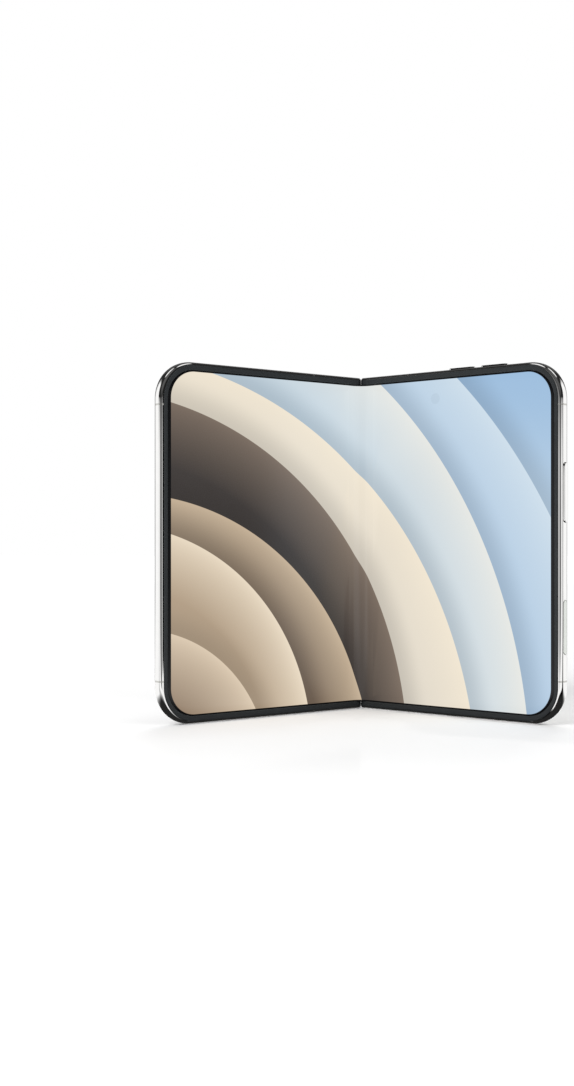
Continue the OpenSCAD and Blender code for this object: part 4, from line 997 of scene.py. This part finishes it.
def make_fold_webs():
    """Thin black webs that stand on the end caps in the gap between the halves' ends."""
    low, high = WEB_Z
    parts = [lattice((-WEB_HALF, WEB_HALF), (WEB_Y, GLASS_Y), span,
                     lambda a, b, c: hinge_placed(1, a, b, c))
             for span in ((low, high), (BODY_H - high, BODY_H - low))]
    dress("fold_gap_webs", parts, BEZEL, "hinge_spine")


# ---- buttons ----

def make_button(name, where, middle, length, proud, material, body, dish=0.0):
    """Stadium button with a softened and slightly crowned or dished face, and the flange behind it:
    rings of (growth, depth) from the flange's back to near the middle of the face."""
    face, soft = -proud, BUTTON_SOFT
    steps = [(FLANGE_OVER, FLANGE_DEPTH + FLANGE_T), (FLANGE_OVER, FLANGE_DEPTH),
             (0.0, FLANGE_DEPTH), (0.0, face + soft)]
    steps += [(-soft * (1 - math.cos(a)), face + soft * (1 - math.sin(a)))
              for a in np.linspace(0.2, math.pi / 2, 6)]
    steps += [(-soft - (BUTTON_W / 2 - soft) * k, face + dish * k) for k in (0.3, 0.6, 0.9)]
    ring, normal = stadium(length, BUTTON_W, 64)
    rings = [rail_ring(CAMERA, where, middle, ring + normal * grow, depth) for grow, depth in steps]
    dress(name, [loop_stack(rings)], material, body, body, sharp=40)


def make_buttons():
    """The four buttons, each of which is its own body and stands for the node of that name."""
    make_button("side_button_cap", "side", *SIDE_BUTTON, BUTTON_PROUD, STEEL, "side_button")
    make_button("volume_up_cap", "top", *VOLUME_UP, BUTTON_PROUD, STEEL, "volume_up_button")
    make_button("volume_down_cap", "top", *VOLUME_DOWN, BUTTON_PROUD, STEEL, "volume_down_button")
    make_button("camera_control_face", "side", *CAMERA_CONTROL, CONTROL_PROUD, CONTROL,
                "camera_control", dish=CONTROL_DISH)


def make_button_gap_shade():
    """Black linings deep in the gaps round the buttons, painted shade in those gaps: stadium rings that line the
    rail's holes.
    """
    parts = []
    shallow, deep = SHADE_LINING_DEPTH
    for where, middle, length, gap in BUTTON_ROOMS:
        room = 2 * (gap - SHADE_LINING_ROOM), 2 * (BUTTON_GAP - SHADE_LINING_ROOM)
        hole, _ = stadium(length + room[0], BUTTON_W + room[1], 64)
        core, _ = stadium(length + 2 * SHADE_LINING_GRIP, BUTTON_W + 2 * SHADE_LINING_GRIP, 64)
        rings = [rail_ring(CAMERA, where, middle, ring, depth)
                 for ring, depth in ((hole, shallow), (core, shallow), (core, deep), (hole, deep))]
        parts.append(loop_stack(rings, closed=True))
    # the linings' black is painted shade deep in the button gaps
    dress("button_gap_shade", parts, BLACK, "camera_half")


# ---- camera half's back ----

def glass_edge():
    """Softened edge of an outer glass: (extra inset, y) round a quarter circle from its face, and
    then down to its seat."""
    turn = np.linspace(0, math.pi / 2, 6)
    soft = np.stack([GLASS_SOFT * (1 - np.sin(turn)), HALF_T - GLASS_SOFT * (1 - np.cos(turn))], -1)
    return np.vstack([soft, [0.0, GLASS_Y]])


def glass_ring(extra):
    """Points round the back glass, drawn in by extra: straight sides, and round corners away from
    the fold."""
    inset = LIP_W + GLASS_ROOM + extra
    fold, side, low, high = INNER_T + extra, HALF_W - inset, inset, BODY_H - inset
    r = CORNER_R - inset
    out, up, down = side - r, low + r, high - r
    return np.vstack([np.linspace((fold, low), (out, low), 60), arc((out, up), r, -90, 0, 20)[1:-1],
                      np.linspace((side, up), (side, down), 60), arc((out, down), r, 0, 90, 20)[1:-1],
                      np.linspace((out, high), (fold, high), 60),
                      np.linspace((fold, high), (fold, low), 60)[1:-1]])


def pill_matched(turn):
    """A function that gives the plateau's pill, grown by an offset, at the directions turn from its
    middle: where each ray meets a straight side, or else a round end."""
    run = (PLATEAU_LEN - PLATEAU_W) / 2
    ray = np.stack([np.cos(turn), np.sin(turn)], -1)

    def ring(offset):
        r = PLATEAU_W / 2 + offset
        with np.errstate(divide="ignore", invalid="ignore"):
            straight = r / np.abs(ray[:, 1])
        end = run * np.abs(ray[:, 0]) + np.sqrt(np.maximum(r ** 2 - (run * ray[:, 1]) ** 2, 0))
        reach = np.where(np.abs(ray[:, 0]) * straight <= run, straight, end)
        return np.array([PLATEAU_T, PLATEAU_Z]) + ray * reach[:, None]

    return ring


def back_hole(t, z, r, around=96):
    """Round cutter through the back glass."""
    low, high = BACK_HOLE_Y
    return turned(CAMERA, t, z, [(0, low), (r, low), (r, high), (0, high)], around)


def make_back_glass():
    """Back glass in one skin: flat, softened at its edge, and raised to the camera plateau by
    shoulders that are round at the top and hollow at the foot."""
    middle = np.array([PLATEAU_T, PLATEAU_Z])
    pill = pill_matched(np.arctan2(*(glass_ring(0.0) - middle).T[::-1]))
    top, foot, edge = pill(SHOULDER[0][0]), pill(SHOULDER_FOOT[-1][0]), glass_ring(GLASS_SOFT)
    levels = [(middle + (top - middle) * k, PLATEAU_Y) for k in (0.02, 0.5)]
    levels += [(pill(grow), PLATEAU_Y - drop) for grow, drop in SHOULDER]
    levels += [(pill(grow), HALF_T + height) for grow, height in SHOULDER_FOOT]
    levels += [(foot * (1 - k) + edge * k, HALF_T) for k in (0.35, 0.7)]
    levels += [(glass_ring(extra), y) for extra, y in glass_edge()]
    rings = [placed(CAMERA, ring[:, 0], y, ring[:, 1]) for ring, y in levels]
    glass = piece("frosted_back_glass", [loop_stack(rings)], WHITE_GLASS, sharp=40)
    cutters = [back_hole(t, PLATEAU_Z, RING_R + RING_ROOM) for t in CAMERA_T.values()]
    cutters += [back_hole(t, z, r + WINDOW_ROOM, 48) for t, z, r in (FLASH, MICROPHONE)]
    cut(glass, cutters, sharp=40)
    settle(glass, "camera_half", "white_glass", "back_glass")


def make_camera(name):
    """Camera ring with a thin rim and a wide inner bevel, its lens cover, and the module behind it:
    a stepped black barrel round coated lens elements."""
    t = CAMERA_T[name]
    low, top = RING_Y
    bore, seat = RING_R - RING_WALL, LENS_Y[0] - 0.01
    ring = [(RING_R, low), *arc((RING_R - RIM_R, top - RIM_R), RIM_R, 0, 90, 7),
            (RING_R - 0.42, top - 0.015), (bore + 0.10, top - 0.30), (bore, top - 0.36),
            (bore, seat), (bore - RING_LEDGE, seat), (bore - RING_LEDGE, low)]
    dress(f"{name}_chrome_ring", [turned(CAMERA, t, PLATEAU_Z, ring, 128)], STEEL, "camera_half",
          f"{name}_camera_ring", sharp=28)
    back, front = LENS_Y
    lens = [(0, back), (LENS_R - 0.05, back), (LENS_R, back + 0.05), (LENS_R, front - 0.08),
            (LENS_R - 0.08, front), (0, front)]
    dress(f"{name}_front_glass", [turned(CAMERA, t, PLATEAU_Z, lens, 128)], LENS_GLASS, "camera_half",
          f"{name}_lens_cover")
    start, half = MODULE_Y[1] - 0.5, MODULE_W / 2
    steps = [(r, BARREL_Y - drop) for r, drop in BARREL_STEPS]
    barrel = [(0, start), (BARREL_R, start), *steps, (0, steps[-1][1])]
    skirt = [(0, SKIRT_Y[0]), (SKIRT_R, SKIRT_Y[0]), (SKIRT_R, SKIRT_Y[1]), (0, SKIRT_Y[1])]
    parts = [block(CAMERA, (t - half, t + half), MODULE_Y, (PLATEAU_Z - half, PLATEAU_Z + half)),
             turned(CAMERA, t, PLATEAU_Z, skirt), turned(CAMERA, t, PLATEAU_Z, barrel)]
    dress(f"{name}_barrel", parts, BLACK, "camera_half", f"{name}_camera_module", sharp=25)
    for label, (radius, drop, height), material in (("outer_element", OUTER_ELEMENT, BLUE),
                                                    ("inner_element", INNER_ELEMENT, AMBER)):
        y = BARREL_Y - drop
        curve = [(radius * math.cos(a), y + height * math.sin(a)) for a in np.linspace(0, 1.5, 14)]
        dome = [(0, y), *curve, (0, y + height)]
        obj = piece(f"{name}_{label}", [turned(CAMERA, t, PLATEAU_Z, dome, 64)], material, sharp=60)
        settle(obj, "camera_half", "camera_black")


def make_window(name, place, soft, around, material, node):
    """Round window in the plateau, its rim chamfered by soft."""
    t, z, r = place
    rim = PLATEAU_Y - WINDOW_DROP
    profile = [(0, GLASS_Y), (r, GLASS_Y), (r, rim), (r - soft, rim + soft), (0, rim + soft)]
    dress(name, [turned(CAMERA, t, z, profile, around)], material, "camera_half", node)


# ---- cover half's outside ----

def make_cover_glass():
    """Black glass over the cover display, with softened edges and the earpiece's slot."""
    skin = plate(COVER, INNER_T, LIP_W + GLASS_ROOM, glass_edge()[::-1, ::-1])
    glass = piece("glossy_cover_glass", [skin], COVER_GLASS, sharp=40)
    t, z, length, width = EARPIECE
    ring, _ = stadium(length + EARPIECE_ROOM, width + EARPIECE_ROOM)
    rings = [placed(COVER, t + ring[:, 0], y, z + ring[:, 1]) for y in (GLASS_Y - 0.5, HALF_T + 0.5)]
    cut(glass, [loop_stack(rings)], sharp=40)
    settle(glass, "cover_half", "cover_glass", "cover_glass")


# ---- stage, light and camera ----

CAMERA_BACK = 513.3           # from the camera to the line of the hinge pins
FOCAL_LENGTH = 46.6
SHIFT_X = -0.0681
FILL_LEVEL = 0.45
FLOOR_TOP_UP = 0.08
FLOOR_PALE = 0.95
FLOOR_REACH = 6.0
FLOOR_NEAR, FLOOR_FAR = 0.16, 0.50
LAMP_AIM = (0.0, 0.0, 0.06)
LAMPS = (("key_lamp", (-0.55, -0.75, 0.75), (0.6, 0.6), 9.0),      # place, size, power
         ("fill_lamp", (0.75, -0.55, 0.45), (0.6, 0.6), 1.5),
         ("back_lamp", (0.1, 0.9, 0.8), (0.8, 0.5), 4.9))
# brightness of the studio tent that polished steel mirrors, at bearings in degrees from +X
TENT = ((0, 1.0), (30, 1.0), (42, 0.12), (84, 0.12), (90, 0.15), (96, 0.12), (142, 0.12), (154, 1.0),
        (192, 1.0), (197, 0.55), (203, 0.55), (208, 1.0), (224, 1.0), (232, 0.16), (250, 0.18),
        (270, 0.15), (284, 0.20), (291, 0.40), (297, 0.95), (332, 1.0), (334, 0.0), (349, 0.0),
        (353, 1.0), (360, 1.0))
TENT_PROFILE = ((0.001, 0.0003), (0.05, 0.0003), (0.3, 0.0003), (1.6, 0.0003), (1.6, 1.1), (0.8, 1.5),
                (0.001, 1.6))      # its distance and height: over the floor, up its wall, overhead
TENT_SHIFT = 0.066                 # in front, bearings are taken from the far corner of the phone
TENT_DARK, TENT_TOP = 0.02, 1.0
TENT_CONTACT_SHADE = (0.010, 0.034)         # painted contact shadow: its floor turns bright between these distances from the phone
TENT_SHADE = (6, 13)               # degrees up its wall over which it turns dark
TENT_SIDE = 22                     # bearing round which, on each side, that happens higher up
TENT_SIDE_EDGE = (26, 16)          # degrees from there over which it does
TENT_SIDE_RISE = 24                # by this many degrees
TENT_SPOT = (345, 68)              # bearing and height of a round light overhead, one on each side
TENT_SPOT_EDGE = (15, 11)          # degrees from its middle over which it turns bright
TENT_SKY, TENT_SKY_PLACE = 0.10, (90, 45)    # dim light high up ahead and behind: level, place
TENT_SKY_EDGE = (38, 14)           # degrees from its middle over which it turns to that level


def seen_rays(w):
    """1 for camera, glossy and transmission rays."""
    path = w.node("ShaderNodeLightPath").outputs
    direct = w.math("MAXIMUM", path["Is Camera Ray"], path["Is Glossy Ray"])
    return w.math("MAXIMUM", direct, path["Is Transmission Ray"])


def make_floor():
    """Pale floor that takes the phone's shadow near it and turns to plain white further out."""
    mesh = bpy.data.meshes.new("floor")
    corners = [(x * FLOOR_REACH, y * FLOOR_REACH, 0) for x, y in ((-1, -1), (1, -1), (1, 1), (-1, 1))]
    mesh.from_pydata(corners, [], [(0, 1, 2, 3)])
    floor = add_object("floor", mesh)
    material, shader, w = new_material("pale_floor")
    shader["Roughness"].default_value = 0.7
    shader["Specular IOR Level"].default_value = 0.1
    shader["Emission Color"].default_value = level_colour(1)
    far = w.ramp(w.vector("LENGTH", w.point()), FLOOR_NEAR, FLOOR_FAR)
    seen = seen_rays(w)
    glow = w.ramp(far, 0.0, 1.0, FLOOR_TOP_UP, 1.0, False)
    w.feed(shader["Emission Strength"], w.math("MULTIPLY", seen, glow))
    pale = w.ramp(w.math("MULTIPLY", seen, far), 0.0, 1.0, FLOOR_PALE, 0.0, False)
    w.feed(shader["Base Color"], w.grey(pale))
    mesh.materials.append(material)


def make_world():
    """White for camera, glossy and transmission rays, and a plain grey fill for the rest."""
    world = bpy.data.worlds.new("studio")
    bpy.context.scene.world = world
    world.use_nodes = True
    w = Wires(world.node_tree)
    background = world.node_tree.nodes["Background"].inputs
    background["Color"].default_value = level_colour(1)
    w.feed(background["Strength"], w.ramp(seen_rays(w), 0.0, 1.0, FILL_LEVEL, 1.0, False))


def make_lamp(name, place, size, power):
    """Area lamp that is turned to the phone's middle and isn't mirrored in it."""
    light = bpy.data.lights.new(name, "AREA")
    light.shape = "RECTANGLE"
    light.size, light.size_y = size
    light.energy = power
    lamp = add_object(name, light)
    lamp.location = place
    lamp.rotation_euler = (Vector(LAMP_AIM) - Vector(place)).to_track_quat("-Z", "Y").to_euler()
    lamp.visible_glossy = False


def direction(bearing, height):
    """Unit vector at a bearing from +X and a height over the floor, in degrees."""
    bearing, height = math.radians(bearing), math.radians(height)
    level = math.cos(height)
    return (level * math.cos(bearing), level * math.sin(bearing), math.sin(height))


def near_direction(w, way_there, middle, edges):
    """1 near a direction: how the angle from it falls between two edges, in degrees, by its cosine."""
    cosines = [math.cos(math.radians(edge)) for edge in edges]
    return w.ramp(w.vector("DOT_PRODUCT", way_there, middle), *cosines)


def near_phone(w, mirrored):
    """Distance on the floor from the middle of the nearer half: to the line from the fold to its side."""
    fold, side = (placed(CAMERA, t, HALF_T / 2, 0.0)[:2] for t in (0.0, HALF_W))
    reach = side - fold
    from_fold = w.vector("SUBTRACT", mirrored, (*fold, 0))
    share = w.vector("DOT_PRODUCT", from_fold, (*(reach / reach.dot(reach)), 0))
    foot = w.vector("SCALE", (*reach, 0), scale=w.math("MULTIPLY", share, 1.0, clamp=True))
    return w.vector("DISTANCE", from_fold, foot)


def tent_material():
    """Even glow that follows the bearing, a painted contact shadow close to the phone's base, dark high up
    the wall, higher at the sides, with a round light overhead on each side and a dim one ahead and behind."""
    material, shader, w = new_material("studio_tent")
    place = w.apart(w.point())
    x, y, z = place["X"], place["Y"], place["Z"]
    mirrored = w.math("ABSOLUTE", x)
    # the glow at each bearing
    ahead = w.math("MULTIPLY", w.ramp(y, 0.0, -0.05), TENT_SHIFT)
    shifted = w.math("MULTIPLY_ADD", w.math("SIGN", x), ahead, x)
    turn = w.math("FRACT", w.math("DIVIDE", w.math("ARCTAN2", y, shifted), 2 * math.pi))
    bearings = w.node("ShaderNodeValToRGB", {0: turn})
    stops = bearings.color_ramp.elements
    while len(stops) < len(TENT):
        stops.new(1.0)
    for stop, (bearing, level) in zip(stops, TENT):
        stop.position = bearing / 360
        stop.color = level_colour(level)
    # where its wall turns dark
    away = w.length(x, y)
    rise = w.math("MULTIPLY", w.math("ARCTAN2", z, away), 180 / math.pi)
    bearing_way = w.vector("SCALE", w.joined(mirrored, y), scale=w.math("DIVIDE", 1.0, away))
    sides = near_direction(w, bearing_way, direction(TENT_SIDE, 0), TENT_SIDE_EDGE)
    shade_up = w.ramp(w.math("MULTIPLY_ADD", sides, -TENT_SIDE_RISE, rise), *TENT_SHADE)
    # the lights overhead
    way_there = w.vector("NORMALIZE", w.joined(mirrored, y, z))
    spot = near_direction(w, way_there, direction(*TENT_SPOT), TENT_SPOT_EDGE)
    both_ways = w.vector("ABSOLUTE", way_there)
    sky = near_direction(w, both_ways, direction(*TENT_SKY_PLACE), TENT_SKY_EDGE)
    dark = level_colour(TENT_DARK)
    # painted contact shadow: the tent's floor is dark close to the phone's base
    base = w.ramp(near_phone(w, w.joined(mirrored, y)), *TENT_CONTACT_SHADE)
    glow = w.mix(base, dark, bearings.outputs["Color"])
    glow = w.mix(shade_up, glow, w.mix(sky, dark, level_colour(TENT_SKY)))
    glow = w.mix(spot, glow, level_colour(TENT_TOP))
    shader["Base Color"].default_value = level_colour(0)
    shader["Specular IOR Level"].default_value = 0.0
    w.feed(shader["Emission Color"], glow)
    shader["Emission Strength"].default_value = 1.0
    return material


def make_tent():
    """Round studio tent for the steel to mirror, seen by glossy rays alone: its profile turned about
    the phone."""
    turn = np.radians(np.linspace(0, 360, 97))
    reach, height = np.array(TENT_PROFILE).T
    points = np.stack([np.outer(reach, np.cos(turn)), np.outer(reach, np.sin(turn)),
                       np.outer(height, np.ones_like(turn))], -1).reshape(-1, 3)
    index = np.arange(len(points)).reshape(len(reach), -1)
    faces = np.stack([index[:-1, :-1], index[:-1, 1:], index[1:, 1:], index[1:, :-1]], -1)
    mesh = bpy.data.meshes.new("studio_tent")
    mesh.from_pydata(points.tolist(), [], faces.reshape(-1, 4).tolist())
    mesh.materials.append(tent_material())
    tent = add_object("studio_tent", mesh)
    tent.visible_camera = False
    tent.visible_diffuse = False
    tent.visible_shadow = False


def make_stage():
    """White world, pale floor, lamps and the tent."""
    bpy.context.scene.view_settings.view_transform = "Standard"
    make_world()
    make_floor()
    for lamp in LAMPS:
        make_lamp(*lamp)
    make_tent()


def make_camera_view():
    """Level camera in front of the phone at half its height, shifted to the side."""
    camera = bpy.data.cameras.new("camera")
    camera.sensor_width = 36.0
    camera.lens = FOCAL_LENGTH
    camera.shift_x = SHIFT_X
    camera.clip_start, camera.clip_end = 0.01, 20.0
    viewer = add_object("camera", camera)
    viewer.location = (0.0, (PIN_WORLD_Y - CAMERA_BACK) * MM, BODY_H / 2 * MM)
    viewer.rotation_euler = (math.pi / 2, 0.0, 0.0)
    bpy.context.scene.camera = viewer


# ---- build ----

dress_cad_nodes()
for half in (COVER, CAMERA):
    make_rail(half)
    make_breaks(half)
    make_bezel(half)
    make_display(half)
    make_fold_strips(half)
make_spine()
make_fold_webs()
make_buttons()
make_button_gap_shade()
make_back_glass()
for camera_name in CAMERA_T:
    make_camera(camera_name)
make_window("flash_lens_window", FLASH, 0.1, 64, FLASH_LENS, "flash_window")
make_window("microphone_mesh", MICROPHONE, 0.05, 32, BLACK, "rear_microphone")
make_cover_glass()
make_stage()
make_camera_view()
